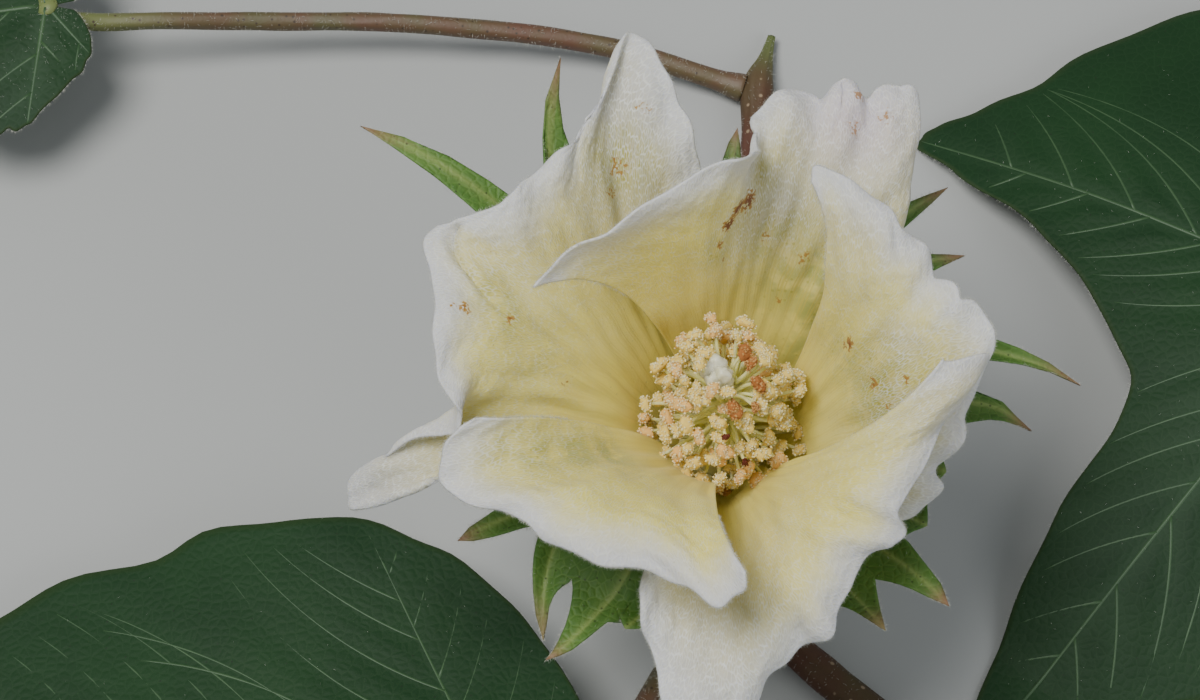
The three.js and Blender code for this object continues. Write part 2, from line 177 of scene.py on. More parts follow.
def add_piece(name, part, finish, slot, *nodes, values=()):
    """Makes the mesh, in metres where the shoot lies, and ties it to the frame."""
    mesh = bpy.data.meshes.new(name)
    points = (part["points"] + shoot_place) * MILLIMETRE
    mesh.vertices.add(len(points))
    mesh.vertices.foreach_set("co", points.astype(np.float32).ravel())
    corners = np.concatenate([face.ravel() for face in part["faces"]])
    sizes = np.concatenate([np.full(len(face), face.shape[1]) for face in part["faces"]])
    mesh.loops.add(len(corners))
    mesh.loops.foreach_set("vertex_index", corners.astype(np.int32))
    mesh.polygons.add(len(sizes))
    mesh.polygons.foreach_set("loop_start", (np.cumsum(sizes) - sizes).astype(np.int32))
    mesh.update(calc_edges=True)
    mesh.validate()
    mesh.shade_smooth()
    for value in values:
        layer = mesh.attributes.new(value, "FLOAT", "POINT")
        layer.data.foreach_set("value", np.asarray(part[value], np.float32))
    mesh.materials.append(finish)
    piece = bpy.data.objects.new(name, mesh)
    bpy.context.scene.collection.objects.link(piece)
    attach(piece, "root")
    if nodes:
        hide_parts(*nodes)


def feed(tree, socket, value):
    """Links an input to another node's output, or sets it to a number, a vector or a colour."""
    if isinstance(value, bpy.types.NodeSocket):
        tree.links.new(value, socket)
    else:
        socket.default_value = (*value, 1.0) if socket.type == "RGBA" else value


def place_node(tree, kind, inputs=(), **settings):
    """A shader node with its settings, and its inputs fed by their names or numbers."""
    made = tree.nodes.new(kind)
    for name, value in settings.items():
        setattr(made, name, value)
    for name, value in dict(inputs).items():
        feed(tree, made.inputs[name], value)
    return made


def layered(tree, skin, *layers):
    """A ground colour, with each layer's colour over it where that layer's mask shows it."""
    for mask, colour in layers:
        skin = place_node(tree, "ShaderNodeMix", {0: mask, 6: skin, 7: colour}, data_type="RGBA").outputs[2]
    return skin


def calculate(tree, operation, *values):
    return place_node(tree, "ShaderNodeMath", dict(enumerate(values)), operation=operation).outputs[0]


def times(tree, a, b):
    return calculate(tree, "MULTIPLY", a, b)


def rescale(tree, value, low, high, out_low=0.0, out_high=1.0):
    made = place_node(tree, "ShaderNodeMapRange", interpolation_type="SMOOTHSTEP", inputs={
        "Value": value, "From Min": low, "From Max": high, "To Min": out_low, "To Max": out_high})
    return made.outputs["Result"]


def lies_on(tree, value):
    """A value that the mesh carries on its points."""
    return place_node(tree, "ShaderNodeAttribute", attribute_name=value).outputs["Fac"]


def sized_place(tree, size):
    """The place on the piece in units of a size that is given in millimetres."""
    place = tree.nodes.new("ShaderNodeTexCoord").outputs["Object"]
    inputs = {"Vector": place, "Scale": calculate(tree, "DIVIDE", 1 / MILLIMETRE, size)}
    return place_node(tree, "ShaderNodeVectorMath", inputs, operation="SCALE").outputs[0]


def noise(tree, size, detail, roughness=0.5, scale=1.0):
    """Cloudy unevenness whose patches have a size in millimetres."""
    inputs = {"Vector": sized_place(tree, size), "Scale": scale, "Detail": detail, "Roughness": roughness}
    return place_node(tree, "ShaderNodeTexNoise", inputs).outputs["Fac"]


def new_group(name, inputs, outputs):
    tree = bpy.data.node_groups.new(name, "ShaderNodeTree")
    for socket, value in inputs.items():
        made = tree.interface.new_socket(socket, in_out="INPUT", socket_type="NodeSocketFloat")
        made.default_value = value
    for socket in outputs:
        tree.interface.new_socket(socket, in_out="OUTPUT", socket_type="NodeSocketFloat")
    return tree, tree.nodes.new("NodeGroupInput").outputs, tree.nodes.new("NodeGroupOutput").inputs


def use_group(tree, group, **values):
    inputs = {name.replace("_", " "): value for name, value in values.items()}
    return place_node(tree, "ShaderNodeGroup", inputs, node_tree=group).outputs


mottle, given, wanted = new_group("mottle", {"Patch size": 4.0, "Share": 0.5, "Softness": 0.15}, ["Mask"])
cloud = noise(mottle, given["Patch size"], 2.0, 0.6)
edge = calculate(mottle, "SUBTRACT", 1.0, given["Share"])
low_edge = calculate(mottle, "SUBTRACT", edge, given["Softness"])
high_edge = calculate(mottle, "ADD", edge, given["Softness"])
feed(mottle, wanted["Mask"], rescale(mottle, cloud, low_edge, high_edge))

gland_dots, given, wanted = new_group(
    "gland dots", {"Spacing": 1.0, "Dot size": 0.18, "Share": 0.6}, ["Mask"])
dot = place_node(gland_dots, "ShaderNodeTexVoronoi", {
    "Vector": sized_place(gland_dots, given["Spacing"]), "Scale": 1.0})
outer = times(gland_dots, given["Dot size"], 1.7)
round_dot = rescale(gland_dots, dot.outputs["Distance"], outer, given["Dot size"])
chance = place_node(gland_dots, "ShaderNodeSeparateColor", {"Color": dot.outputs["Color"]}).outputs[0]
kept = calculate(gland_dots, "LESS_THAN", chance, given["Share"])
feed(gland_dots, wanted["Mask"], times(gland_dots, round_dot, kept))

tissue_grain, given, wanted = new_group("tissue grain", {"Cell size": 0.3}, ["Height"])
feed(tissue_grain, wanted["Height"], noise(tissue_grain, given["Cell size"], 1.0, 0.6, 0.7))


def patches(tree, size, share, softness):
    """A mask of soft patches of a size in millimetres, over a share of the skin."""
    return use_group(tree, mottle, Patch_size=size, Share=share, Softness=softness)["Mask"]


def dots(tree, spacing, size, share, strength=1.0):
    """A mask of small round dots on a share of the places that they could have."""
    mask = use_group(tree, gland_dots, Spacing=spacing, Dot_size=size, Share=share)["Mask"]
    return times(tree, mask, strength)


def grain(tree, cell, *others):
    """The relief of the tissue's fine cells, with other reliefs added to it."""
    total = use_group(tree, tissue_grain, Cell_size=cell)["Height"]
    for other in others:
        total = calculate(tree, "ADD", total, other)
    return total


def new_finish(name, colour, roughness, **sockets):
    """A material, with the values that are the same all over set on its one shader."""
    made = bpy.data.materials.new(name)
    made.use_nodes = True
    shader = made.node_tree.nodes["Principled BSDF"]
    for socket, value in {"Base_Color": colour, "Roughness": roughness, **sockets}.items():
        feed(made.node_tree, shader.inputs[socket.replace("_", " ")], value)
    return made, made.node_tree


def colour_and_relief(tree, colour, height, strength, depth):
    """Feeds the finished colour and a fine relief, its depth in millimetres, to the shader."""
    inputs = {"Height": height, "Strength": strength, "Distance": depth * MILLIMETRE}
    shader = tree.nodes["Principled BSDF"].inputs
    feed(tree, shader["Base Color"], colour)
    feed(tree, shader["Normal"], place_node(tree, "ShaderNodeBump", inputs).outputs["Normal"])


bark, tree = new_finish("red-brown bark", (0.14, 0.07, 0.04), 0.62, Specular_IOR_Level=0.35)
skin = layered(
    tree, (0.1, 0.042, 0.026), (patches(tree, 9.0, 0.45, 0.2), (0.085, 0.066, 0.028)),
    (dots(tree, 1.7, 0.11, 0.5), (0.3, 0.22, 0.14)),
    (rescale(tree, lies_on(tree, "share"), 0.93, 1.0), (0.12, 0.15, 0.05)))
colour_and_relief(tree, skin, grain(tree, 0.35), 0.5, 0.12)

knots = [cut_end, leaf_node, bloom_node, tip_node, bud_end]
knot_places = np.array([(x, y, radius + node_swelling) for x, y, radius in knots])
stations = np.insert(knot_places, range(1, len(knots)), (knot_places[1:] + knot_places[:-1]) / 2, axis=0)
branch_course = grown_course(stations, bark_steps)
branch_radii = at_first([(y, radius) for _, y, radius in knots], branch_course[:, 1])[:, 0]
for x, y, _ in (leaf_node, bloom_node, tip_node):
    away = (branch_course[:, 0] - x) ** 2 + (branch_course[:, 1] - y) ** 2
    branch_radii = branch_radii + node_swelling * np.exp(-away / node_length ** 2)


def bark_relief(along, around):
    ridges = ridge_height * np.cos(bark_ridges * around + 0.03 * along)
    ridges = ridges * (0.6 + 0.4 * bumps(3, along / 20, around))
    uneven = bumps(4, along / 2.2, 2 * np.cos(around), 2 * np.sin(around))
    return ridges + bark_unevenness * (uneven - 1)


branch = wrapped_limb(branch_course, branch_radii, bark_sides, bark_relief)
add_piece("branch_bark", branch, bark, "stem", "branch", values=["share"])

# The cut face is where the branch was taken from the plant with one clean cut. It shows the thin green
# inner bark, a ring of pale wood and soft white pith, with fine rays between them.
cut_rings = 10
cut_proud = 0.04
cut_sunk = 0.2
cut_wood, tree = new_finish("freshly cut wood", (0.6, 0.5, 0.3), 0.7, Specular_IOR_Level=0.25)
from_pith = lies_on(tree, "from_pith")
rays = noise(tree, 0.25, 3.0)
wood = layered(
    tree, (0.62, 0.52, 0.3), (rays, (0.5, 0.4, 0.2)),
    (rescale(tree, from_pith, 0.4, 0.3), (0.75, 0.7, 0.55)),
    (rescale(tree, from_pith, 0.8, 0.86), (0.23, 0.3, 0.08)),
    (rescale(tree, from_pith, 0.93, 0.97), (0.12, 0.06, 0.035)))
colour_and_relief(tree, wood, rays, 0.4, 0.08)

cut_rim = branch["points"][:bark_sides]
cut_middle = branch_course[0]
cut_out = unit(branch_course[0] - branch_course[1])
shares = np.array([1, *np.linspace(1, 0.08, cut_rings)])
lifts = np.array([-cut_sunk, 0.5 * cut_proud, *[cut_proud] * (cut_rings - 1)])
disc = cut_middle + shares[:, None, None] * (cut_rim - cut_middle) + lifts[:, None, None] * cut_out
hubs = [cut_middle - cut_sunk * cut_out, cut_middle + cut_proud * cut_out]
cut_quads, cut_fans = limb_faces(len(shares), bark_sides)
cut_face = {
    "points": np.vstack([disc.reshape(-1, 3), *hubs]),
    "faces": [cut_quads[:, [1, 0, 3, 2]], cut_fans[:, [1, 0, 2]]],
    "from_pith": np.concatenate([np.repeat(shares, bark_sides), [1, 0]]),
}
add_piece("branch_cut_face", cut_face, cut_wood, "stem", values=["from_pith"])

# Short white hairs, up to 0.8 millimetres long, stand on every green part of cotton and fringe its petals.
# They are single pointed cells that grow out of the skin, each leaning its own way.
branch_hair_count = 2600
hair_radius = 0.022
hair_root = 0.06
least_above_table = 0.05
hair_material, tree = new_finish("white plant hair", (0.72, 0.72, 0.66), 0.5)
hair_tone = layered(tree, (0.78, 0.78, 0.72), (noise(tree, 1.5, 0.0), (0.6, 0.6, 0.5)))
feed(tree, tree.nodes["Principled BSDF"].inputs["Base Color"], hair_tone)


def repeated(faces, count):
    """The faces of a small shape for many copies of its points, one copy after the other."""
    return ((faces.max() + 1) * np.arange(count)[:, None, None] + faces).reshape(-1, 3)


def hairs(feet, outward, seed, lengths=(0.3, 0.8), spread=0.5, radius=hair_radius):
    """A closed three-sided spike at each foot, sunk a little into the skin, where it clears the table."""
    draw = np.random.default_rng(seed)
    lean = unit(unit(outward) + spread * draw.normal(size=feet.shape))
    reach = draw.uniform(*lengths, size=(len(feet), 1))
    above = (feet + reach * lean)[:, 2] > least_above_table
    feet, lean, reach = feet[above], lean[above], reach[above]
    side = unit(np.cross(lean, draw.normal(size=feet.shape)))
    other = np.cross(lean, side)
    root = feet - hair_root * lean
    corners = [root + radius * (math.cos(a) * side + math.sin(a) * other) for a in (0, 2.094, 4.189)]
    points = np.stack([*corners, root + (reach + hair_root) * lean], axis=1).reshape(-1, 3)
    spike = np.array([[0, 1, 3], [1, 2, 3], [2, 0, 3], [0, 2, 1]])
    return {"points": points, "faces": [repeated(spike, len(feet))]}


def hairs_over(part, count, seed, **style):
    """Hairs at random points of a part's skin."""
    chosen = np.random.default_rng(seed).integers(0, len(part["outward"]), count)
    return hairs(part["points"][chosen], part["outward"][chosen], seed + 1, **style)


def fringe(blade, count, seed, value, least, **style):
    """Hairs all along the edge of a blade, where a value that it carries is over the least."""
    draw = np.random.default_rng(seed)
    rim = blade["rim"]
    after = np.roll(rim, -1)
    weight = length_of(blade["points"][after] - blade["points"][rim])[:, 0] * (blade[value][rim] > least)
    chosen = draw.choice(len(rim), count, p=weight / weight.sum())
    feet = mix(blade["points"][rim[chosen]], blade["points"][after[chosen]], draw.uniform(size=(count, 1)))
    return hairs(feet, blade["outward"][rim[chosen]], seed + 10, **style)


stem_hairs = [hairs_over(branch, branch_hair_count, 11, lengths=(0.25, 0.7))]

# Leaf stalks are round, green flushed with red-brown and set with dark oil glands. Each grows from a
# node of the branch and bends up into the notch behind its blade, which it carries on its top.
stalk_steps = 240
stalk_sides = 28
stalk_radius_at_foot = 1.3
stalk_radius_at_blade = 1.1
stalk_heel = 0.5
stalk_heel_steps = 6
stalk_flare = 0.25
stalk_hair_count = 1500
# Places under the blade that the stalk runs through: how far behind the blade's foot, and how far below.
stalk_under_blade = [(26, 7), (14, 5.5), (5, 4.6), (0.6, 2.6)]
# leave and axis are the ways that the stalk leaves its node and that the blade points, in degrees. bays and
# sides are how far the bays and the side lobes reach on either hand, as shares of the blade's length.
leaf_plans = {
    "leaf_left": {
        "node": bloom_node, "leave": 222, "route": [(-3, -13, 5)], "foot": (-20, -45, 15),
        "axis": 243, "length": 90, "bays": (0.55, 0.55), "sides": (1, 0.86)},
    "leaf_right": {
        "node": leaf_node, "leave": 42, "route": [(56, -34, 4.5), (77, -24, 6), (94, -6, 7.5)],
        "foot": (73.5, 25, 15), "axis": 149, "length": 56, "bays": (0.83, 0.46), "sides": (0.98, 1.2)},
    "leaf_tip": {
        "node": tip_node, "leave": 176, "route": [(-13, 65, 4), (-36, 67, 6)], "foot": (-80.5, 65, 14),
        "axis": 184, "length": 46, "bays": (0.4, 0.4), "sides": (0.33, 0.33)},
}
stalk_skin, tree = new_finish("leaf stalk skin", (0.2, 0.16, 0.06), 0.5)
skin = layered(
    tree, (0.1, 0.09, 0.035), (patches(tree, 7.0, 0.5, 0.25), (0.13, 0.06, 0.035)),
    (rescale(tree, lies_on(tree, "share"), 0.75, 1.0), (0.16, 0.2, 0.06)),
    (dots(tree, 0.9, 0.13, 0.7), (0.05, 0.03, 0.015)))
colour_and_relief(tree, skin, grain(tree, 0.3), 0.4, 0.08)


def compass(degrees):
    """The way that an angle points on the table, turned to the left from the right-hand side."""
    return np.array([math.cos(math.radians(degrees)), math.sin(math.radians(degrees))])


def ribbed(ribs, depth, patch, seed):
    """The relief of a stalk with soft ribs and uneven patches, both of one depth."""
    def relief(along, around):
        uneven = bumps(seed, along / patch, np.cos(around), np.sin(around))
        return depth * (np.cos(ribs * around) + uneven - 1)
    return relief


for name, plan in leaf_plans.items():
    node_x, node_y, node_radius = plan["node"]
    node_height = node_radius + node_swelling
    start_x, start_y = compass(plan["leave"]) * (node_height - 0.4)
    foot_x, foot_y, foot_z = plan["foot"]
    back_x, back_y = compass(plan["axis"] + 180)
    under = [(foot_x + back * back_x, foot_y + back * back_y, foot_z - drop)
             for back, drop in stalk_under_blade]
    first = (node_x + start_x, node_y + start_y, node_height)
    course = grown_course([first, *plan["route"], *under, plan["foot"]], stalk_steps)
    share = np.linspace(0, 1, stalk_steps + 1)
    radii = mix(stalk_radius_at_foot, stalk_radius_at_blade, smooth(0, 1, share))
    heel = stalk_heel * np.exp(-(share * stalk_steps / stalk_heel_steps) ** 2)
    radii = radii + heel + stalk_flare * smooth(0.975, 1, share)
    leaf_stalk = wrapped_limb(course, radii, stalk_sides, ribbed(5, 0.04, 3, 21))
    add_piece(f"{name}_stalk_skin", leaf_stalk, stalk_skin, "leaf_stalk", f"{name}_stalk", values=["share"])
    stem_hairs.append(hairs_over(leaf_stalk, stalk_hair_count, 23))

# Leaf blades are thin, dark green and soft, cut into pointed lobes. The skin bulges a little between the
# veins, which sink into the upper side and stand out below, and short hairs fringe the edge.
leaf_thickness = 0.34
side_lobe = 80
leaf_arch = 1.7
leaf_rows = 50
columns_per_point = 8
# The main veins' angles from the blade's axis, with their strengths.
vein_angles = {0: 1.0, side_lobe: 1.0, -side_lobe: 1.0, 128: 0.62, -128: 0.62}
vein_steps = 28
side_vein_angle = 47
side_vein_gap = 7.5
side_vein_step = 1.2
side_vein_bend = 1.35
quilt_width = 3.2
quilt_depth = 0.34
blade_wave = 0.9
blade_wave_length = 24
vein_sides = 7
leaf_fringe_count = 1300
leaf_hair_count = 1400


def leaf_half_outline(bay, side):
    """One half of a blade's outline from its tip: the angle from the axis and the share of the length."""
    return [
        (0, 1), (3, mix(1, bay, 0.2)), (9, mix(1, bay, 0.58)), (22, mix(1, bay, 0.86)), (42, bay),
        (57, mix(bay, side, 0.1)), (66, mix(bay, side, 0.38)), (73, mix(bay, side, 0.7)), (side_lobe, side),
        (86, 0.87 * side), (98, 0.73 * side), (113, 0.63 * side), (127, 0.55 * side), (140, 0.44 * side),
        (154, 0.31 * side), (167, 0.22 * side),
    ]


def leaf_vein_lines(outline, length):
    """Main veins to the lobes and the side veins off them, each as its width and a line in the blade."""
    angles, shares = np.array(outline, float).T
    reaches = shares * length
    lines = []
    for angle, strength in vein_angles.items():
        reach = np.interp(angle, angles, reaches) * 0.985
        way = np.linspace(0.02, 1, vein_steps)[:, None]
        main = way * reach * compass(angle)
        lines.append((mix(0.95, 0.16, way[:, 0]) * strength, main))
        count = max(int(reach / side_vein_gap), 2)
        for k, hand in ((k, hand) for k in range(1, count + 1) for hand in (-1, 1)):
            uneven = math.sin(7 * k + 3 * hand + angle)
            place = (k - 0.35 * (hand > 0) + 0.2 * uneven) / (count + 0.7)
            spot = main[int((vein_steps - 1) * place)]
            heading = angle + hand * (side_vein_angle + 5 * uneven)
            run = []
            for _ in range(40):
                turned = math.degrees(math.atan2(spot[1], spot[0]))
                limit = 0.95 * np.interp(turned, angles, reaches)
                next_main = min(abs(turned - other) for other in vein_angles if other != angle)
                if np.hypot(*spot) > limit or abs(turned - angle) > next_main:
                    break
                run.append(spot)
                heading -= hand * side_vein_bend
                spot = spot + side_vein_step * compass(heading)
            if len(run) > 3:
                lines.append((0.42 * strength * np.linspace(1, 0.25, len(run)), np.array(run)))
    return lines


def distance_to_lines(flat, lines, reach=6):
    """For each place in the blade, how far the nearest vein is and how wide it is there."""
    nearest = np.full(len(flat), 1e9)
    width = np.zeros(len(flat))
    for widths, line in lines:
        low, high = line.min(axis=0) - reach, line.max(axis=0) + reach
        close = np.flatnonzero(np.all((flat > low) & (flat < high), axis=1))
        for k, (start, step) in enumerate(zip(line, np.diff(line, axis=0))):
            share = np.clip((flat[close] - start) @ step / step.dot(step), 0, 1)
            gap = np.hypot(*(flat[close] - start - share[:, None] * step).T)
            better = gap < nearest[close]
            nearest[close[better]] = gap[better]
            width[close[better]] = widths[k]
    return nearest, width


def grid_normals(points):
    """Normals of a grid of points, from its own slopes."""
    normal = np.cross(np.gradient(points, axis=0), np.gradient(points, axis=1))
    return normal / (length_of(normal) + 1e-12)


def two_sided(middle, thickness, **values):
    """A thin closed blade with a rounded rim, over a grid of points in the middle of its thickness. Its
    value one_side is 1 on the side that the grid's normals point to, 0 on the other, and half on the rim."""
    count = middle[..., 0].size
    grid = np.arange(count).reshape(middle.shape[:2])
    flat, normal = middle.reshape(-1, 3), grid_normals(middle).reshape(-1, 3)
    top = np.stack([grid[:-1, :-1], grid[1:, :-1], grid[1:, 1:], grid[:-1, 1:]], axis=-1).reshape(-1, 4)
    border = np.concatenate([grid[:-1, 0], grid[-1, :-1], grid[:0:-1, -1], grid[0, :0:-1]])
    ahead = np.roll(flat[border], -1, axis=0) - np.roll(flat[border], 1, axis=0)
    edge_out = np.cross(ahead, normal[border])
    edge_out /= length_of(edge_out) + 1e-9
    rim = 2 * count + np.arange(len(border))
    after, rim_after = np.roll(border, -1), np.roll(rim, -1)
    sides = [np.stack([border, rim, rim_after, after], axis=1),
             np.stack([rim, border + count, after + count, rim_after], axis=1)]
    half = 0.5 * thickness
    part = {
        "points": np.vstack([flat + half * normal, flat - half * normal, flat[border] + edge_out * half]),
        "faces": [np.vstack([top, top[:, ::-1] + count, *sides])],
        "outward": np.vstack([normal, -normal, edge_out]),
        "one_side": np.repeat([1, 0, 0.5], [count, count, len(border)]),
        "rim": rim,
    }
    for name, value in values.items():
        flat_value = np.broadcast_to(value, grid.shape).ravel()
        part[name] = np.concatenate([flat_value, flat_value, flat_value[border]])
    return part


def netted(tree, place):
    """How far each place lies from the nearest thread of an irregular net."""
    return place_node(tree, "ShaderNodeTexVoronoi", {"Vector": place, "Scale": 1.0},
                      voronoi_dimensions="2D", feature="DISTANCE_TO_EDGE").outputs["Distance"]


fine_net, given, wanted = new_group("fine net", {"Mesh size": 1.0}, ["Away"])
feed(fine_net, wanted["Away"], netted(fine_net, sized_place(fine_net, given["Mesh size"])))

leaf_skin, tree = new_finish("dark leaf skin", (0.007, 0.035, 0.008), 0.6, Specular_IOR_Level=0.25)
web = use_group(tree, fine_net, Mesh_size=1.1)["Away"]
thin_veins = rescale(tree, web, 0.09, 0.02)
upper_side = layered(
    tree, (0.005, 0.03, 0.007), (patches(tree, 14.0, 0.5, 0.3), (0.008, 0.041, 0.009)),
    (times(tree, thin_veins, 0.2), (0.025, 0.062, 0.022)),
    (times(tree, lies_on(tree, "vein"), 0.5), (0.025, 0.062, 0.026)),
    (dots(tree, 1.3, 0.06, 0.6, 0.7), (0.012, 0.02, 0.01)))
skin = layered(
    tree, (0.085, 0.14, 0.065), (thin_veins, (0.13, 0.19, 0.09)), (lies_on(tree, "one_side"), upper_side),
    (times(tree, lies_on(tree, "edge"), 0.5), (0.035, 0.06, 0.018)))
quilted = grain(tree, 0.4, times(tree, rescale(tree, web, 0.0, 0.4), 0.9))
colour_and_relief(tree, skin, quilted, 0.35, 0.08)

vein_skin, tree = new_finish("leaf vein", (0.12, 0.17, 0.06), 0.5)
skin = layered(tree, (0.026, 0.072, 0.024), (patches(tree, 5.0, 0.5, 0.3), (0.042, 0.098, 0.034)))
colour_and_relief(tree, skin, grain(tree, 0.25), 0.3, 0.05)

leaf_hairs = []
for seed, (name, plan) in enumerate(leaf_plans.items()):
    length = plan["length"]
    halves = [leaf_half_outline(bay, side) for bay, side in zip(plan["bays"], plan["sides"])]
    outline = [(-angle, share) for angle, share in halves[0][:0:-1]] + halves[1]
    lines = leaf_vein_lines(outline, length)
    foot = np.array(plan["foot"], float)
    axis = compass(plan["axis"])
    spin = np.array([axis, (-axis[1], axis[0])])
    slack = min(length / 60, 1.0)

    def blade_height(flat):
        distance = np.hypot(flat[..., 0], flat[..., 1])
        fall = np.minimum((distance / length) ** leaf_arch, 1)
        wave = slack * blade_wave * bumps(31 + seed, *np.moveaxis(flat / blade_wave_length, -1, 0))
        wave = wave * smooth(2, 25, distance)
        height = mix(foot[2] - 0.3, 0.5 * leaf_thickness + 0.05, fall) + wave * (1 - 0.75 * fall)
        return np.maximum(height, 0.5 * leaf_thickness + 0.05)

    def valley(flat, gap, width):
        sunk = (smooth(0, quilt_width, gap) - 1) * mix(0.4, 1, smooth(0, 0.5, width))
        return slack * quilt_depth * sunk * smooth(1, 6, np.hypot(flat[..., 0], flat[..., 1]))

    v = np.linspace(0, 1, (len(outline) - 1) * columns_per_point + 1)[None, :]
    u = np.linspace(0, 1, leaf_rows)[:, None]
    degrees, reach = np.moveaxis(along_rows(outline, v + 0 * u), -1, 0)
    uneven_edge = 1 + 0.012 * bumps(41 + seed, v * 60, 0 * v) * smooth(0.5, 1, u)
    distance = mix(stalk_radius_at_blade * 0.6, reach * length * uneven_edge, u)
    angle = np.radians(degrees)
    flat = np.stack([distance * np.cos(angle), distance * np.sin(angle)], axis=-1)
    gap, width = (found.reshape(angle.shape) for found in distance_to_lines(flat.reshape(-1, 2), lines))
    height = np.maximum(blade_height(flat) + valley(flat, gap, width), 0.5 * leaf_thickness + 0.02)
    middle = np.concatenate([flat @ spin + foot[:2], height[..., None]], axis=-1)
    blade = two_sided(
        middle, leaf_thickness, vein=smooth(2.2, 0.2, gap) * smooth(0, 0.6, width), edge=smooth(0.985, 1, u))
    add_piece(f"{name}_blade", blade, leaf_skin, "leaf", name, values=["vein", "one_side", "edge"])

    cords = []
    for widths, line in lines:
        height = blade_height(line) + valley(line, 0 * widths, widths) - 0.12 * widths
        height = np.maximum(height, 0.5 * leaf_thickness + 0.3 * widths)
        course = np.concatenate([line @ spin + foot[:2], height[:, None]], axis=-1)
        cords.append(wrapped_limb(course, 0.5 * leaf_thickness + 0.3 * widths, vein_sides))
    add_piece(f"{name}_veins", joined(cords), vein_skin, "leaf")

    leaf_hairs.append(fringe(
        blade, leaf_fringe_count, 51 + seed, "edge", 0.9, lengths=(0.2, 0.65), spread=0.45, radius=0.018))
    leaf_hairs.append(hairs_over(
        blade, leaf_hair_count, 71 + seed, lengths=(0.2, 0.5), spread=0.6, radius=0.016))
add_piece("leaf_hairs", joined(leaf_hairs), hair_material, "leaf")

# The bloom's stalk is a stiff green stem from the branch's middle node. Its top widens into the fleshy
# receptacle that carries the bracts, the calyx, the petals and the staminal column.
bloom_lift = 28
receptacle_radius = 6.7
receptacle_height = 6
bloom_stalk_radius = 1.6
bloom_stalk_heel = (0.6, 1.6)
bloom_stalk_steps = 160
bloom_stalk_sides = 48
green_stalk, tree = new_finish("bloom stalk skin", (0.16, 0.21, 0.06), 0.5)
skin = layered(
    tree, (0.15, 0.2, 0.055), (patches(tree, 6.0, 0.35, 0.25), (0.19, 0.12, 0.05)),
    (dots(tree, 0.8, 0.14, 0.8), (0.04, 0.05, 0.015)),
    # The receptacle at the stalk's top is painted pale yellow: painted light that lifts the shade between the
    # petals' claws.
    (rescale(tree, lies_on(tree, "share"), 0.95, 0.985), (0.78, 0.72, 0.3)))
colour_and_relief(tree, skin, grain(tree, 0.3), 0.4, 0.08)

node_x, node_y, node_radius = bloom_node
neck = bloom_lift - receptacle_height
stalk_foot = 2 * (node_radius + node_swelling) - 0.5
stalk_course = grown_course([
    (node_x, node_y, stalk_foot), (node_x, node_y, stalk_foot + 4.8), (0.4 * node_x, 0.4 * node_y, neck - 3),
    (0, 0, neck), (0, 0, bloom_lift)], bloom_stalk_steps)
above_neck = np.clip(1 - (bloom_lift - stalk_course[:, 2]) / receptacle_height, 0, 1)
stalk_radii = mix(bloom_stalk_radius, receptacle_radius, above_neck)
heel_proud, heel_height = bloom_stalk_heel
stalk_radii = stalk_radii + heel_proud * np.exp(-((stalk_course[:, 2] - stalk_foot) / heel_height) ** 2)
bloom_stalk = wrapped_limb(stalk_course, stalk_radii, bloom_stalk_sides, ribbed(6, 0.05, 2.5, 81))
add_piece("bloom_stalk_skin", bloom_stalk, green_stalk, "leaf_stalk", "bloom_stalk", values=["share"])
stem_hairs.append(hairs_over(bloom_stalk, stalk_hair_count, 83))
add_piece("stem_hairs", joined(stem_hairs), hair_material, "stem")

# Three bracts stand round the bloom, leafy and yellow-green, each cut into long narrow teeth with a vein
# up every tooth. The teeth end in hooked red-brown tips, and white hairs fringe them.
bract_thickness = 0.26
bract_rows = 48
columns_per_tooth = 14
# The bracts' course as seen from the side: the way along it, how far out it is and how high.
bract_section = [
    (0, 5.4, -3.2), (4, 9.3, -2.6), (8, 12.8, 0.1), (14, 15.6, 5.4), (22, 20, 12), (34, 29.5, 18),
    (58, 51, 24)]
bract_body = 27
bract_foot = 0.9
bract_fan = (0, 14)
bract_cup = (6, 26)
tooth_sharpness = 1.15
bract_ripple = 0.35
tooth_crease = 0.25
bract_fringe_count = 1800
bract_hair_count = 900
# Each tooth is its azimuth from the bract's middle, its length, how many degrees its blade bows aside
# between its root and its tip, and how far the tip bends down.
bract_plans = {
    "bract_upper": {
        "middle": 118, "spread": 0.9, "side_body": 0.62, "teeth": [
            (52, 22, 0, 0), (39, 34, -3, 1), (25, 55, -7, 1), (11, 36, -2, 1), (-3, 47, 20, -1),
            (-17, 33, 0, 0), (-31, 37, 3, 1), (-46, 24, 0, 0)]},
    "bract_right": {
        "middle": -2, "spread": 0.5, "side_body": 1.05, "teeth": [
            (50, 43, 6, 1), (39, 39, 9, 2), (25, 31, 9, 1), (11, 45, 15, 6.5), (3, 39, 9, 5),
            (-12, 29, 2, 0), (-27, 29, 0, 0), (-41, 37, 2, 0), (-54, 34, 0, 0)]},
    "bract_lower": {
        "middle": -122, "spread": 0.2, "side_body": 0.7, "teeth": [
            (53, 20, 0, 0), (38, 25, 0, 0), (20, 26, 2, 0), (6, 29, 3, 0), (-5, 37, 4, 1),
            (-9.5, 34, -19, 3), (-36, 36, -3, 1), (-51, 23, 0, 0)]},
}
bract_skin, tree = new_finish(
    "bract skin", (0.13, 0.25, 0.05), 0.55, Specular_IOR_Level=0.35, Subsurface_Weight=0.15,
    Subsurface_Radius=(0.5, 0.8, 0.2), Subsurface_Scale=MILLIMETRE)
web = use_group(tree, fine_net, Mesh_size=1.0)["Away"]
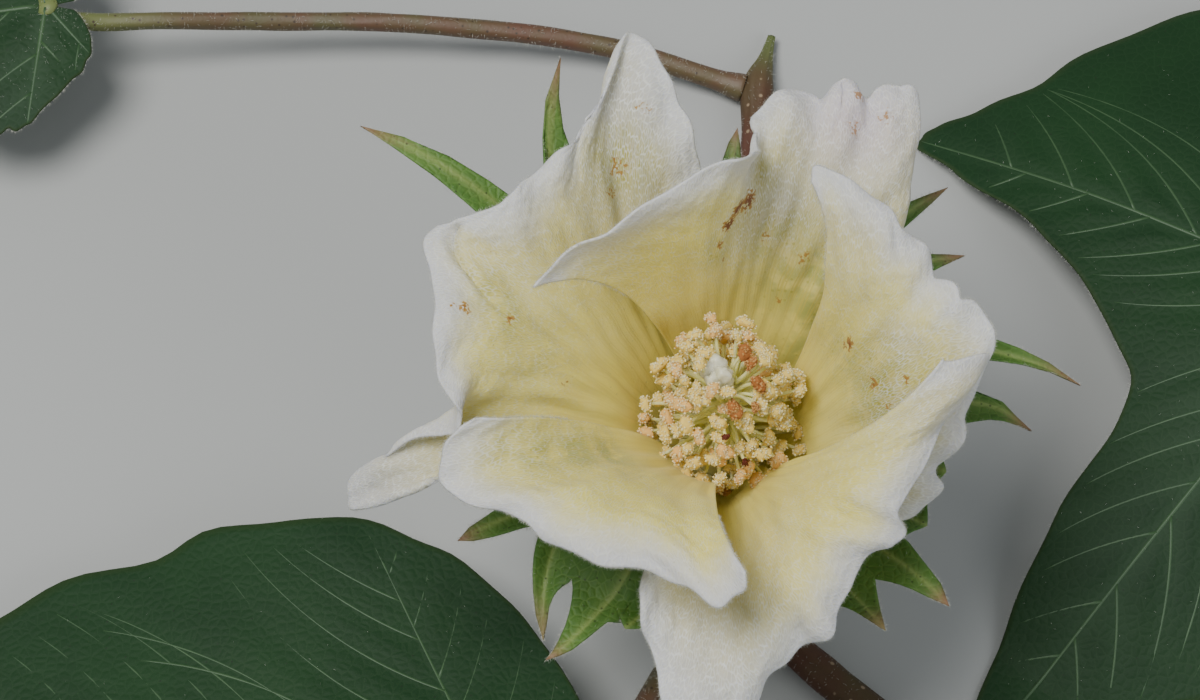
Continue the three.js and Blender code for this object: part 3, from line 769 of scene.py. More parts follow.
skin = layered(
    tree, (0.06, 0.15, 0.022), (patches(tree, 5.0, 0.5, 0.25), (0.095, 0.2, 0.034)),
    (times(tree, rescale(tree, web, 0.12, 0.02), 0.35), (0.15, 0.26, 0.06)),
    (times(tree, lies_on(tree, "vein"), 0.8), (0.26, 0.34, 0.1)),
    (dots(tree, 0.9, 0.1, 0.7, 0.75), (0.03, 0.05, 0.012)),
    (times(tree, lies_on(tree, "tip"), 0.8), (0.22, 0.07, 0.06)))
colour_and_relief(tree, skin, grain(tree, 0.3, rescale(tree, web, 0.0, 0.3)), 0.5, 0.1)


def round_axis(distance, azimuth, height):
    """Points by their distance from the bloom's axis, the angle round it and the height."""
    return np.stack([distance * np.cos(azimuth), distance * np.sin(azimuth), height], axis=-1)


bloom_hairs = []
for seed, (name, plan) in enumerate(bract_plans.items()):
    teeth = np.array(plan["teeth"], float)
    between = 0.5 * (teeth[1:] + teeth[:-1])
    sides = np.vstack([teeth[0] + (5, 0, 0, 0), between, teeth[-1] - (5, 0, 0, 0)])
    columns = []
    for k, tooth in enumerate(teeth):
        for x in np.linspace(-1, 1, columns_per_tooth + 1)[k > 0:]:
            azimuth, _, bow, droop = mix(tooth, sides[k] if x < 0 else sides[k + 1], abs(x))
            notch = bract_body * mix(1, plan["side_body"], (azimuth / teeth[0, 0]) ** 2)
            notch = min(notch, tooth[1] - 1)
            reach = mix(notch, tooth[1], (1 - abs(x)) ** tooth_sharpness)
            columns.append((azimuth, reach, bow, droop, x, tooth[1], notch))
    azimuths, lengths, bows, droops, across_tooth, tooth_lengths, notches = np.array(columns).T
    u = np.linspace(0, 1, bract_rows)[:, None]
    along = lengths * u ** 1.15
    distance, rise = np.moveaxis(at_first(bract_section, along), -1, 0)
    bend = np.clip((along - 0.7 * notches) / (tooth_lengths - 0.7 * notches), 0, 1) ** 2
    fanned = mix(bract_foot, 1, smooth(*bract_fan, along))
    bowed = bows * (1 - bend) * smooth(8, 22, along)
    angle = np.radians(plan["middle"] + azimuths * fanned + bowed)
    height = rise * mix(1, plan["spread"], smooth(*bract_cup, along)) - droops * bend
    ripple = bract_ripple * bumps(91 + seed, along / 7, azimuths / 9 + 0 * u) * smooth(4, 20, along)
    crease = tooth_crease * (1 - np.cos(np.clip(1.2 * across_tooth, -1, 1) * math.pi)) * smooth(10, 24, along)
    middle = round_axis(distance, angle, height + bloom_lift)
    normal = grid_normals(middle)
    normal *= np.sign(np.median(normal[..., 2]))
    middle = middle + normal * (ripple + crease)[..., None]
    vein = np.exp(-(across_tooth * smooth(2, 26, along) / 0.11) ** 2) * smooth(1, 5, along)
    tip = smooth(0.9, 0.99, along / tooth_lengths) * smooth(30, 36, tooth_lengths)
    blade = two_sided(middle, bract_thickness, vein=vein, tip=tip, share=u)
    add_piece(f"{name}_blade", blade, bract_skin, "bract", name, values=["vein", "tip"])
    bloom_hairs.append(fringe(
        blade, bract_fringe_count, 101 + seed, "share", 0.3, lengths=(0.2, 0.6), spread=0.4, radius=0.018))
    bloom_hairs.append(hairs_over(blade, bract_hair_count, 121 + seed, lengths=(0.2, 0.5), radius=0.016))

# The calyx is a short pale green cup that holds the petals' feet, grown from one piece, with a rim of
# five blunt lobes and scattered dark oil glands.
calyx_section = [(7, -0.6), (7.7, -1.2), (9.8, 0.4), (11.4, 3), (12.5, 5.8), (11.8, 5.9), (10.6, 3.2), (9, 1)]
calyx_lobes = 5
calyx_lobe_rise = 0.16
calyx_ribs = 15
calyx_rib_height = 0.05
calyx_rim = (2, 6)
calyx_rings = 51
calyx_columns = 150
calyx_skin, tree = new_finish(
    "calyx skin", (0.3, 0.38, 0.12), 0.5, Subsurface_Weight=0.15, Subsurface_Radius=(0.6, 0.7, 0.2),
    Subsurface_Scale=MILLIMETRE)
skin = layered(
    tree, (0.25, 0.34, 0.1), (patches(tree, 3.5, 0.5, 0.3), (0.34, 0.42, 0.15)),
    (dots(tree, 0.75, 0.17, 0.85), (0.03, 0.035, 0.01)))
colour_and_relief(tree, skin, grain(tree, 0.3), 0.4, 0.08)

section = along_rows(calyx_section + calyx_section[:1], np.linspace(0, 1, calyx_rings + 1)[:-1])
distance, rise = section[:, :1], section[:, 1:]
azimuth = np.linspace(0, 2 * math.pi, calyx_columns, endpoint=False)[None, :]
radius = distance + calyx_rib_height * np.cos(calyx_ribs * azimuth) * smooth(1, 5, rise)
height = rise * (1 + calyx_lobe_rise * np.cos(calyx_lobes * azimuth) * smooth(*calyx_rim, rise))
calyx = {"points": round_axis(radius, azimuth, height + bloom_lift).reshape(-1, 3),
         "faces": [ring_quads(calyx_rings, calyx_columns, closed=True)]}
add_piece("calyx_cup", calyx, calyx_skin, "calyx", "calyx")

# The five petals are thin, soft and slightly see-through, creamy white with a golden throat. They grow
# from the receptacle by narrow claws, overlap in turn, and roll outwards along wavy edges.
petal_thickness = 0.3
petal_length = 45
petal_rows = 80
petal_columns_per_point = 13
petal_fringe_count = 2000
petal_stack = 0.9
stack_turn = (0.25, 0.75)
claw_radius = 4.8
claw_lift = 0.1
claw_half_span = 44
throat_turn = (0.04, 0.2)
throat_flare = (6.1, 3)
throat_rise = (0.3, 0.5)
open_reach = (16, 40)
fan_power = 2.6
shoulder_reach = 0.62
shoulder_per_lip = 0.014
shoulder_rise = 0.92
lip_in_throat = 0.6
lobe_width = 0.13
lobe_fade = 3
scallop_depth = 0.009
corner_round = 0.055
corner_share = 0.03
notch_depth = 0.035
notch_share = 0.014
crumple_depth = 0.22
pucker_depth = 0.06
wave_depth = 0.34
# throat is the azimuths between which the petal leaves the throat, stack how far its two sides stand
# before or behind their neighbours, and each point of edge its azimuth, reach, height and turned lip.
# tips are places along the edge that keep their full reach, notches are nicks in it, and calm is a stretch
# that hangs smooth. A fold runs from one place on the petal (along it, then across) to another, with its
# depth and half width in millimetres. Marks are a place, their size in millimetres and their strength:
# stain is rusty; the olive marks are greenish blotches, and some on petal_left, petal_top and
# petal_lower_left are painted shade, in folds and under another petal's overlapping edge; blush is pink;
# and the pale marks fade the petal towards a lobe that turns out, to a grey that is partly the lobe's own
# paler tone and partly painted shade where the lobe turns away from the light.
petal_plans = {
    "petal_left": {
        "throat": (212, 108), "stack": (-1, -1), "tips": [0.8125], "notches": [0.7], "edge": [
            (212, 27, 19, 6), (201, 31, 20, 10), (196, 42, 11, 17), (192, 41.6, 12, 17), (193, 34, 21, 9),
            (196.5, 29.2, 26, 5), (186, 30.5, 28, 4), (170, 31.4, 29, 4), (157, 34.4, 28, 6),
            (149, 28.7, 31, 3), (139, 28, 31, 3), (125, 28, 31, 3), (113, 32.1, 31, 4), (105, 38.6, 29, 6),
            (100, 31, 29, 4), (97, 23, 26, 3), (98, 17.5, 20, 2)],
        "folds": [(0.98, 0.52, 0.69, 0.42, 2.0, 0.7), (0.97, 0.86, 0.6, 0.76, 0.3, 1.0)],
        "stain": [
            (0.93, 0.43, 0.6, 0.7), (0.88, 0.43, 0.7, 0.8), (0.86, 0.425, 0.5, 0.7), (0.71, 0.43, 0.7, 0.8),
            (0.81, 0.52, 0.5, 0.7), (0.9, 0.86, 0.8, 0.7), (0.87, 0.85, 0.6, 0.6), (0.71, 0.82, 1.6, 0.6),
            (0.66, 0.79, 1.2, 0.6), (0.48, 0.33, 1.0, 0.45)],
        # petal_left's olive marks are painted shade: a dark line down its first fold and a patch by its
        # second.
        "olive_and_painted_shade": [
            (0.95, 0.507, 0.7, 1.7), (0.92, 0.497, 0.7, 1.7), (0.89, 0.487, 0.7, 1.5),
            (0.85, 0.473, 0.8, 1.2), (0.76, 0.46, 2.5, 1), (0.71, 0.43, 2, 1), (0.6, 0.38, 5, 0.5),
            (0.72, 0.82, 4.5, 1)],
        "pale_lobe_and_shade": [(0.85, 0.84, 13, 0.95), (0.95, 0.14, 12, 0.9), (0.95, 0.55, 10, 0.4)]},
    "petal_top": {
        "throat": (118, 25), "stack": (1, -1), "left_fan": 1.2, "tips": [0.0, 0.625, 0.78],
        "notches": [0.565, 0.695], "calm": (-0.1, 0.3), "edge": [
            (167, 21.2, 31, -2), (156, 19.2, 33, -2), (140, 16.2, 35, -2), (114, 15.6, 36, -2),
            (95, 16.5, 37, -1), (83, 18.3, 36, 0), (82, 21.5, 31, 3), (84, 26, 29, 6), (78, 29.5, 30, 8),
            (71, 31.2, 28, 8), (68, 33.2, 30, 9), (64, 33.6, 28, 8), (59, 36, 29, 8), (55, 36.5, 28, 8),
            (51, 32, 25, 6), (45, 26.5, 21, 4), (38, 22, 15, 3)],
        "folds": [(0.97, 0.62, 0.7, 0.6, 0.4, 1.0), (0.98, 0.76, 0.75, 0.7, 0.35, 1.0)],
        "stain": [
            (0.74, 0.33, 1.1, 1.2), (0.69, 0.31, 1.0, 1.3), (0.72, 0.37, 1.5, 1.0), (0.64, 0.27, 0.6, 0.8),
            (0.57, 0.29, 0.5, 0.7), (0.52, 0.48, 0.9, 0.6), (0.34, 0.6, 0.7, 0.6), (0.45, 0.64, 1.2, 0.6),
            (0.93, 0.66, 0.9, 0.7), (0.8, 0.66, 1.4, 0.55), (0.86, 0.73, 1.6, 0.5)],
        # The last three olive marks are painted shade where petal_upper_right's edge lies over petal_top; the
        # others are greenish blotches.
        "olive_and_painted_shade": [
            (0.5, 0.53, 5, 0.8), (0.38, 0.62, 4, 1), (0.62, 0.42, 4, 0.6), (0.62, 0.27, 2.5, 0.9),
            (0.75, 0.42, 3, 0.8), (0.44, 0.71, 3, 1.2), (0.36, 0.78, 3, 1.3), (0.29, 0.87, 3, 1.2)],
        "blush": [(0.83, 0.66, 5, 1)],
        "pale_lobe_and_shade": [(0.9, 0.68, 14, 0.95), (0.97, 0.1, 6, 0.5), (0.64, 0.47, 7, 0.8)]},
    "petal_upper_right": {
        "throat": (28, -58), "stack": (1, -1), "notches": [0.44, 0.66], "edge": [
            (67, 18.3, 36, 1), (59, 18.8, 36, 2), (49, 19.4, 35, 3), (37, 20.1, 34, 4), (29, 20.5, 33, 4),
            (25, 22.1, 32, 5), (17, 21.7, 30, 5), (11, 24.5, 31, 6), (5, 26.5, 30, 6), (0, 27.6, 29, 6),
            (-7, 26.4, 27, 6), (-18, 26.1, 22, 6), (-22, 24.3, 18, 6), (-25, 25.8, 16, 7),
            (-32, 24.4, 14, 6), (-37, 21.5, 13, 5), (-41, 18.1, 14, 3)],
        "folds": [(0.97, 0.43, 0.75, 0.46, 0.4, 1.2), (0.97, 0.22, 0.8, 0.3, 0.35, 1.2)],
        "stain": [
            (0.55, 0.27, 0.9, 0.9), (0.52, 0.25, 0.6, 0.8), (0.55, 0.46, 0.9, 0.8), (0.66, 0.51, 0.7, 0.7),
            (0.58, 0.56, 0.6, 0.7)],
        "olive_and_painted_shade": [(0.56, 0.5, 5, 1.2), (0.62, 0.62, 6, 1.2), (0.5, 0.3, 4, 0.7), (0.72, 0.55, 3, 0.8)],
        "pale_lobe_and_shade": [
            (0.95, 0.15, 9, 0.5), (0.95, 0.5, 7, 0.4), (0.95, 0.85, 9, 0.6), (0.6, 0.57, 5, 0.6),
            (0.7, 0.42, 4, 0.5)]},
    "petal_lower_right": {
        "throat": (-50, -108), "stack": (1, -1), "edge": [
            (-5, 22.9, 33, 2), (-4.5, 26, 30, 7), (-14, 23.7, 27, 9), (-26, 22.9, 26, 8), (-44, 23.4, 25, 8),
            (-47, 25.6, 22, 9), (-55, 25, 22, 9), (-63, 26.5, 20, 10), (-70, 29.5, 18, 12),
            (-76, 30.5, 16, 13), (-82, 32.5, 15, 13), (-88, 36, 14, 12), (-95, 37.5, 15, 10),
            (-101, 36, 16, 9), (-105, 32, 18, 8), (-110, 28, 21, 5), (-113, 24, 22, 3)],
        "pale_lobe_and_shade": [(0.95, 0.8, 14, 0.9), (0.95, 0.1, 8, 0.6)]},
    "petal_lower_left": {
        "throat": (-98, -158), "stack": (1, 1), "edge": [
            (-86, 27.6, 30, 5), (-91, 28.3, 27.5, 7), (-99, 26.6, 27, 8), (-109, 26, 27, 8),
            (-120, 27, 27, 8), (-131, 28, 27, 8), (-139, 28.5, 27, 7), (-146, 31, 26, 7), (-154, 33, 25, 6),
            (-158, 31.5, 28, 3), (-160, 29.3, 30, 2)],
        # The first four olive marks are painted shade under petal_left's overlapping edge.
        "olive_and_painted_shade": [
            (0.83, 0.87, 2.5, 0.7), (0.71, 0.85, 3, 1.1), (0.58, 0.82, 3, 1.3), (0.48, 0.76, 3, 1.2),
            (0.5, 0.6, 4, 0.5)],
        "pale_lobe_and_shade": [(1, 0.95, 8, 0.4)]},
}

petal_veins, given, wanted = new_group(
    "petal veins", {"Along": 0.0, "Across": 0.0, "From claw": 0.0, "Sideways": 0.0}, ["Vein", "Net"])
vein_place = place_node(petal_veins, "ShaderNodeCombineXYZ", {"X": given["Along"], "Y": given["Across"]})
wander = place_node(
    petal_veins, "ShaderNodeTexNoise", {"Vector": vein_place.outputs[0], "Scale": 9.0, "Detail": 0.0},
    noise_dimensions="2D").outputs["Fac"]
vein_course = calculate(petal_veins, "ADD", given["Across"], times(petal_veins, wander, 0.035))
total = 0.0
for count, fork in ((17.0, -0.1), (34.0, 0.25), (68.0, 0.5)):
    turns = calculate(petal_veins, "FRACT", times(petal_veins, vein_course, count))
    off = calculate(petal_veins, "ABSOLUTE", calculate(petal_veins, "SUBTRACT", turns, 0.5))
    begun = rescale(petal_veins, given["Along"], fork, fork + 0.12)
    line = times(petal_veins, rescale(petal_veins, off, 0.16, 0.02), begun)
    total = calculate(petal_veins, "MAXIMUM", total, line)
feed(petal_veins, wanted["Vein"], total)
net_along = calculate(petal_veins, "DIVIDE", given["From claw"], 0.95)
net_across = calculate(petal_veins, "DIVIDE", given["Sideways"], 0.5)
net_across = calculate(petal_veins, "ADD", net_across, times(petal_veins, wander, 3.0))
net_place = place_node(petal_veins, "ShaderNodeCombineXYZ", {"X": net_along, "Y": net_across}).outputs[0]
threads = rescale(petal_veins, netted(petal_veins, net_place), 0.22, 0.04)
begun = rescale(petal_veins, given["Along"], 0.3, 0.6)
feed(petal_veins, wanted["Net"], times(petal_veins, threads, begun))

petal_skin, tree = new_finish(
    "petal skin", (0.8, 0.76, 0.6), 0.55, Specular_IOR_Level=0.3, Subsurface_Weight=0.35,
    Subsurface_Radius=(1.0, 0.85, 0.45), Subsurface_Scale=1.2 * MILLIMETRE, Sheen_Weight=0.1,
    Sheen_Roughness=0.5)
from_claw, olive_and_painted_shade, pale_lobe_and_shade, stain = (
    lies_on(tree, value) for value in ("from_claw", "olive_and_painted_shade", "pale_lobe_and_shade", "stain"))
lines = use_group(
    tree, petal_veins, Along=lies_on(tree, "along"), Across=lies_on(tree, "across"), From_claw=from_claw,
    Sideways=lies_on(tree, "sideways"))
cloudy = patches(tree, 5.0, 0.5, 0.3)
golden = layered(tree, (0.8, 0.66, 0.13), (cloudy, (0.83, 0.7, 0.18)))
# pale is the grey that the pale marks give lobes that turn out: partly their own paler tone, partly painted
# shade where they turn away from the light.
pale = layered(tree, (0.49, 0.48, 0.455), (cloudy, (0.56, 0.545, 0.53)))
pale_edge = layered(tree, (0.57, 0.568, 0.56), (cloudy, (0.64, 0.638, 0.63)))
back = layered(tree, (0.74, 0.69, 0.4), (rescale(tree, from_claw, 26.0, 8.0), (0.7, 0.66, 0.26)))
rust = layered(tree, (0.42, 0.24, 0.05), (rescale(tree, stain, 0.5, 0.95), (0.2, 0.06, 0.014)))
blotchy = rescale(tree, patches(tree, 1.8, 0.55, 0.2), 0.0, 1.0, 0.2, 0.9)
uneven = calculate(tree, "ADD", lies_on(tree, "from_margin"), times(tree, cloudy, 1.8))
# Where crepe shows, the net's threads turn whitish: the crinkled lobes' pale netted veins, with painted
# highlights where the crinkles catch the light.
crepe_and_glint = rescale(tree, patches(tree, 0.9, 0.5, 0.2), 0.0, 1.0, 0.3, 1.0)
crepe_and_glint = times(tree, crepe_and_glint, rescale(tree, pale_lobe_and_shade, 0.0, 0.7, 0.35, 0.8))
ragged = calculate(tree, "SUBTRACT", times(tree, noise(tree, 0.4, 1.0), 4.0), 1.0)
skin = layered(
    tree, (0.77, 0.66, 0.14), (cloudy, (0.8, 0.7, 0.19)), (rescale(tree, from_claw, 38.0, 16.0), golden),
    (pale_lobe_and_shade, pale), (times(tree, lies_on(tree, "one_side"), 0.7), back),
    # The olive mask darkens the skin towards a dull green, with darker veins and dots there: greenish
    # blotches, and painted shade in petal folds and under overlapping petal edges.
    (times(tree, olive_and_painted_shade, blotchy), (0.4, 0.4, 0.1)),
    (times(tree, lines["Vein"], times(tree, olive_and_painted_shade, 0.6)), (0.5, 0.42, 0.08)),
    (rescale(tree, uneven, 7.5, 1.0), pale_edge), (times(tree, lines["Net"], crepe_and_glint), (0.78, 0.78, 0.72)),
    (times(tree, times(tree, lines["Vein"], 0.22), rescale(tree, from_claw, 30.0, 18.0)), (0.66, 0.52, 0.1)),
    (dots(tree, 0.8, 0.09, 0.3, 0.35), (0.35, 0.33, 0.2)),
    (dots(tree, 0.75, 0.16, 0.45, times(tree, olive_and_painted_shade, 0.7)), (0.4, 0.36, 0.06)),
    (rescale(tree, times(tree, stain, ragged), 0.42, 0.7), rust),
    (times(tree, lies_on(tree, "blush"), 0.22), (0.72, 0.45, 0.62)))
relief = grain(tree, 0.28, times(tree, lines["Net"], 0.7), times(tree, lines["Vein"], 0.3))
colour_and_relief(tree, skin, relief, 0.45, 0.09)


def bezier(a, b, c, d, t):
    ab, bc, cd = mix(a, b, t), mix(b, c, t), mix(c, d, t)
    return mix(mix(ab, bc, t), mix(bc, cd, t), t)


def petal_surface(plan, u, v):
    """A petal's middle surface: u runs from the claw to the free edge, v along that edge."""
    exact = along_rows(plan["edge"], v)
    broad = sum(along_rows(plan["edge"], v + share * lobe_width) for share in (-1, -0.5, 0, 0.5, 1)) / 5
    edge_azimuth, reach, rise, lip = np.moveaxis(mix(broad, exact, u[..., None] ** lobe_fade), -1, 0)
    left, right = plan["throat"]
    claw_azimuth = 0.5 * (left + right) + claw_half_span * (1 - 2 * v) * np.sign(left - right)
    low_azimuth = mix(claw_azimuth, mix(left, right, v), smooth(*throat_turn, u))
    opened = smooth(*open_reach, reach)
    across = (claw_radius, claw_radius + mix(*throat_flare, opened),
              mix(claw_radius, reach, shoulder_reach + shoulder_per_lip * lip), reach)
    up = (claw_lift, claw_lift + mix(*throat_rise, opened) * (rise + lip_in_throat * lip),
          shoulder_rise * rise + lip, rise)
    distance, height = bezier(*across, u), bezier(*up, u)
    step = 0.01
    ahead = unit(np.stack([bezier(*across, u + step) - distance, bezier(*up, u + step) - height], axis=-1))
    drawn = petal_stack * mix(*plan["stack"], smooth(*stack_turn, v)) * mix(0.3, 1, smooth(0, 0.07, u))
    power = mix(plan.get("left_fan", fan_power), fan_power, smooth(0, 0.2, v))
    azimuth = np.radians(mix(low_azimuth, edge_azimuth, u ** power))
    distance = distance - ahead[..., 1] * drawn
    height = height + ahead[..., 0] * drawn
    return round_axis(distance, azimuth, height + bloom_lift)


def petal_relief(seed, u, v, breadth, liveliness):
    """Soft crumpling, and waves that grow towards the free edge, in millimetres."""
    broad = crumple_depth * bumps(seed, 7 * u, v * breadth / 4.5) * smooth(0.1, 0.5, u)
    fine = pucker_depth * bumps(seed + 1, 30 * u, v * breadth / 1.8) * smooth(0.45, 0.85, u)
    waves = wave_depth * bumps(seed + 2, 3 * u, v * breadth / 3.6) * smooth(0.8, 1, u)
    waves = waves * smooth(0, 0.08, np.minimum(v, 1 - v))
    return broad + fine + waves * liveliness


def pinched(folds, u, v, breadth):
    """How deep a petal's pinched folds lie, in millimetres."""
    depth = np.zeros(u.shape)
    size = np.array([petal_length, breadth])
    for start_along, start_across, end_along, end_across, deep, width in folds:
        start = size * (start_along, start_across)
        line = size * (end_along, end_across) - start
        away = size * np.stack([u, v], axis=-1) - start
        share = np.clip(away @ line / line.dot(line), 0, 1)
        gap = length_of(away - share[..., None] * line)[..., 0]
        depth = depth + deep * (1 - share) * np.exp(-(gap / width) ** 2)
    return depth


def drawn_in(plan, seed, u, v, breadth, liveliness):
    """The share of its reach by which a petal's edge stays back, in scallops, round corners and notches."""
    uneven = bumps(127 + seed, v * breadth / 3.0, 0 * v)
    back = scallop_depth * (1 + liveliness * uneven) * smooth(0.7, 1, u)
    back = back + corner_round * np.exp(-(np.minimum(v, 1 - v) / corner_share) ** 2) * smooth(0.8, 1, u)
    back = back * (1 - sum(np.exp(-((v - place) / 0.05) ** 2) for place in plan.get("tips", [])))
    for place in plan.get("notches", []):
        back = back + notch_depth * np.exp(-((v - place) / notch_share) ** 2) * smooth(0.75, 1, u)
    return back


def marked(marks, middle, u, v):
    """How strongly the marks show at each place of a petal."""
    shown = np.zeros(u.shape)
    for along, across, size, strength in marks:
        nearest = np.argmin((u - along) ** 2 + (v - across) ** 2)
        gap = length_of(middle - middle.reshape(-1, 3)[nearest])[..., 0]
        shown = np.maximum(shown, strength * np.exp(-(gap / size) ** 2))
    return shown


for seed, (name, plan) in enumerate(petal_plans.items()):
    rows = 1 - (1 - np.linspace(0, 1, petal_rows)) ** 1.2
    columns = np.linspace(0, 1, (len(plan["edge"]) - 1) * petal_columns_per_point + 1)
    u, v = np.meshgrid(rows, columns, indexing="ij")
    breadth = travelled(petal_surface(plan, np.ones(len(columns)), columns))[-1]
    calm_start, calm_end = plan.get("calm", (2, 2))
    calm = smooth(calm_start - 0.05, calm_start + 0.05, v) - smooth(calm_end - 0.05, calm_end + 0.05, v)
    liveliness = 1 - 0.8 * calm
    middle = petal_surface(plan, u * (1 - drawn_in(plan, seed, u, v, breadth, liveliness)), v)
    relief = petal_relief(131 + 7 * seed, u, v, breadth, liveliness)
    relief = relief + pinched(plan.get("folds", []), u, v, breadth)
    middle = middle + grid_normals(middle) * relief[..., None]
    from_claw, from_left = travelled(middle, axis=0), travelled(middle, axis=1)
    from_side = np.minimum(from_left, from_left[:, -1:] - from_left)
    carried = {
        "from_claw": from_claw,
        "from_margin": np.minimum(from_claw[-1:] - from_claw, from_side + 14 * smooth(0.97, 0.75, u)),
        "along": u, "across": v, "sideways": v * breadth,
    }
    for kind in ("stain", "olive_and_painted_shade", "blush", "pale_lobe_and_shade"):
        carried[kind] = marked(plan.get(kind, []), middle, u, v)
    blade = two_sided(middle, petal_thickness, **carried)
    add_piece(f"{name}_blade", blade, petal_skin, "petal", name, values=["one_side", *carried])
    bloom_hairs.append(fringe(
        blade, petal_fringe_count, 171 + seed, "along", 0.6, lengths=(0.15, 0.5), radius=0.014))
add_piece("bloom_hairs", joined(bloom_hairs), hair_material, "petal")

# The staminal column is a pale tube that the filaments spring from on all sides, each with one anther:
# a bent two-lobed pouch that has burst open and is powdered with coarse pollen.
column_foot = 3.1
column_tip = 1.5
column_height = 17.6
column_taper = 0.7
column_steps = 60
column_sides = 32
stamen_count = 150
filament_root = 0.9
filament_feet = (5.5, 17.2)
filament_radius = 0.22
filament_steps = 12
filament_sides = 7
anther_heights = (7.0, 22.4)
# How far from the axis the anthers stand at each height, together a blunt cone.
anther_cloud = [(6.5, 7.3), (9, 8.2), (12, 8.2), (15.5, 7.5), (18.5, 6.5), (21, 4.8), (23.5, 2.4)]
anther_length = 2.0
anther_breadth = 1.25
anther_bend = 0.3
furrow_depth = 0.32
lobe_rings = 8
lobe_sides = 12
golden_angle = 137.5
pollen_per_anther = 82
pollen_radius = 0.15
# Some anthers have withered, and two are only dry specks. Each is its place from the bloom's seat and
# its size.
withered = [(1.6, 1.4, 22.8, 1.05), (2.4, 0.3, 22.6, 0.8), (0.6, -4.3, 21, 1.1), (2.7, -4, 21.2, 0.6)]
dry_specks = [(-0.3, -6.4, 19, 0.32), (1.8, -7.5, 15, 0.36)]
filament_skin, tree = new_finish(
    "filament skin", (0.72, 0.66, 0.3), 0.45, Subsurface_Weight=0.5, Subsurface_Radius=(0.8, 0.7, 0.3),
    Subsurface_Scale=MILLIMETRE)
skin = layered(tree, (0.88, 0.84, 0.3), (patches(tree, 2.0, 0.5, 0.3), (0.92, 0.9, 0.48)))
colour_and_relief(tree, skin, grain(tree, 0.2), 0.3, 0.05)


def powdery(name, dark, light):
    """An anther's skin, dark in its furrows and light where pollen lies."""
    made, tree = new_finish(
        name, light, 0.75, Specular_IOR_Level=0.2, Subsurface_Weight=0.25,
        Subsurface_Radius=(0.6, 0.6, 0.35), Subsurface_Scale=0.6 * MILLIMETRE)
    tone = rescale(tree, patches(tree, 0.9, 0.5, 0.25), 0.0, 1.0, 0.55, 1.0)
    skin = layered(tree, dark, (times(tree, lies_on(tree, "powder"), tone), light))
    colour_and_relief(tree, skin, grain(tree, 0.14), 0.5, 0.06)
    return made


anther_skins = {
    "cream": powdery("cream anther", (0.86, 0.62, 0.16), (0.94, 0.86, 0.5)),
    "peach": powdery("peach anther", (0.84, 0.5, 0.16), (0.94, 0.8, 0.48)),
    "rust": powdery("withered anther", (0.4, 0.15, 0.04), (0.6, 0.33, 0.12)),
    "dry": powdery("dry speck", (0.1, 0.018, 0.01), (0.16, 0.04, 0.02)),
}

polar, turn = np.meshgrid(np.linspace(0, math.pi, lobe_rings + 1),
                          np.linspace(0, 2 * math.pi, lobe_sides, endpoint=False), indexing="ij")
ball = round_axis(np.sin(polar), turn, np.cos(polar)).reshape(-1, 3)
ball_quads = ring_quads(lobe_rings + 1, lobe_sides)[:, [0, 3, 2, 1]]
grain_corners = np.array([(1, 0, 0), (-1, 0, 0), (0, 1, 0), (0, -1, 0), (0, 0, 1), (0, 0, -1)], float)
grain_faces = np.array([
    (0, 2, 4), (2, 1, 4), (1, 3, 4), (3, 0, 4), (2, 0, 5), (1, 2, 5), (3, 1, 5), (0, 3, 5)])


def pouch(place, outward, side, seed, size):
    """A burst anther: a kidney bent round its filament's end, uneven, with pollen grains all over it."""
    other = np.cross(outward, side)
    bent = ball * np.array([0.5 * anther_length, 0.5 * anther_breadth, 0.5 * anther_breadth]) * size
    bent = bent * (1 + 0.16 * bumps(seed, *(1.6 * ball).T) + 0.07 * bumps(seed + 1, *(4 * ball).T))[:, None]
    bent[:, 2] -= furrow_depth * size * np.exp(-(ball[:, 0] / 0.28) ** 2) * (ball[:, 2] > 0) * ball[:, 2]
    bent[:, 2] -= anther_bend * size * (ball[:, 0] ** 2)
    skin = place + bent @ np.stack([side, other, outward])
    draw = np.random.default_rng(seed)
    chosen = draw.integers(0, len(skin), pollen_per_anther)
    sizes = pollen_radius * draw.uniform(0.7, 1.25, (pollen_per_anther, 1, 1))
    spots = skin[chosen] + 0.07 * draw.normal(size=(pollen_per_anther, 3))
    grains = (spots[:, None, :] + sizes * grain_corners).reshape(-1, 3)
    return [{"points": skin, "faces": [ball_quads], "powder": np.zeros(len(skin))},
            {"points": grains, "faces": [repeated(grain_faces, len(spots))], "powder": np.ones(len(grains))}]


draw = np.random.default_rng(7)
upwards = np.array([0.0, 0.0, 1.0])
stamens = []
for i in range(stamen_count):
    share = (i + 0.5) / stamen_count
    outwards = np.array([*compass(i * golden_angle), 0.0])
    root = outwards * filament_root + upwards * mix(*filament_feet, share)
    height = mix(*anther_heights, share) + 0.8 * draw.normal()
    reach = np.interp(height, *np.transpose(anther_cloud)) * draw.uniform(0.72, 1.04)
    tip = outwards * reach + upwards * height + 0.55 * draw.normal(size=3)
    tone = draw.choice(["cream", "peach", "rust"], p=[0.79, 0.19, 0.02])
    stamens.append((root, tip, tone, draw.uniform(0.85, 1.15)))
for tone, places in (("rust", withered), ("dry", dry_specks)):
    for x, y, height, size in places:
        root = unit(np.array([x, y, 0.0])) * filament_root + upwards * (height - 4.5)
        stamens.append((root, np.array([x, y, height]), tone, size))

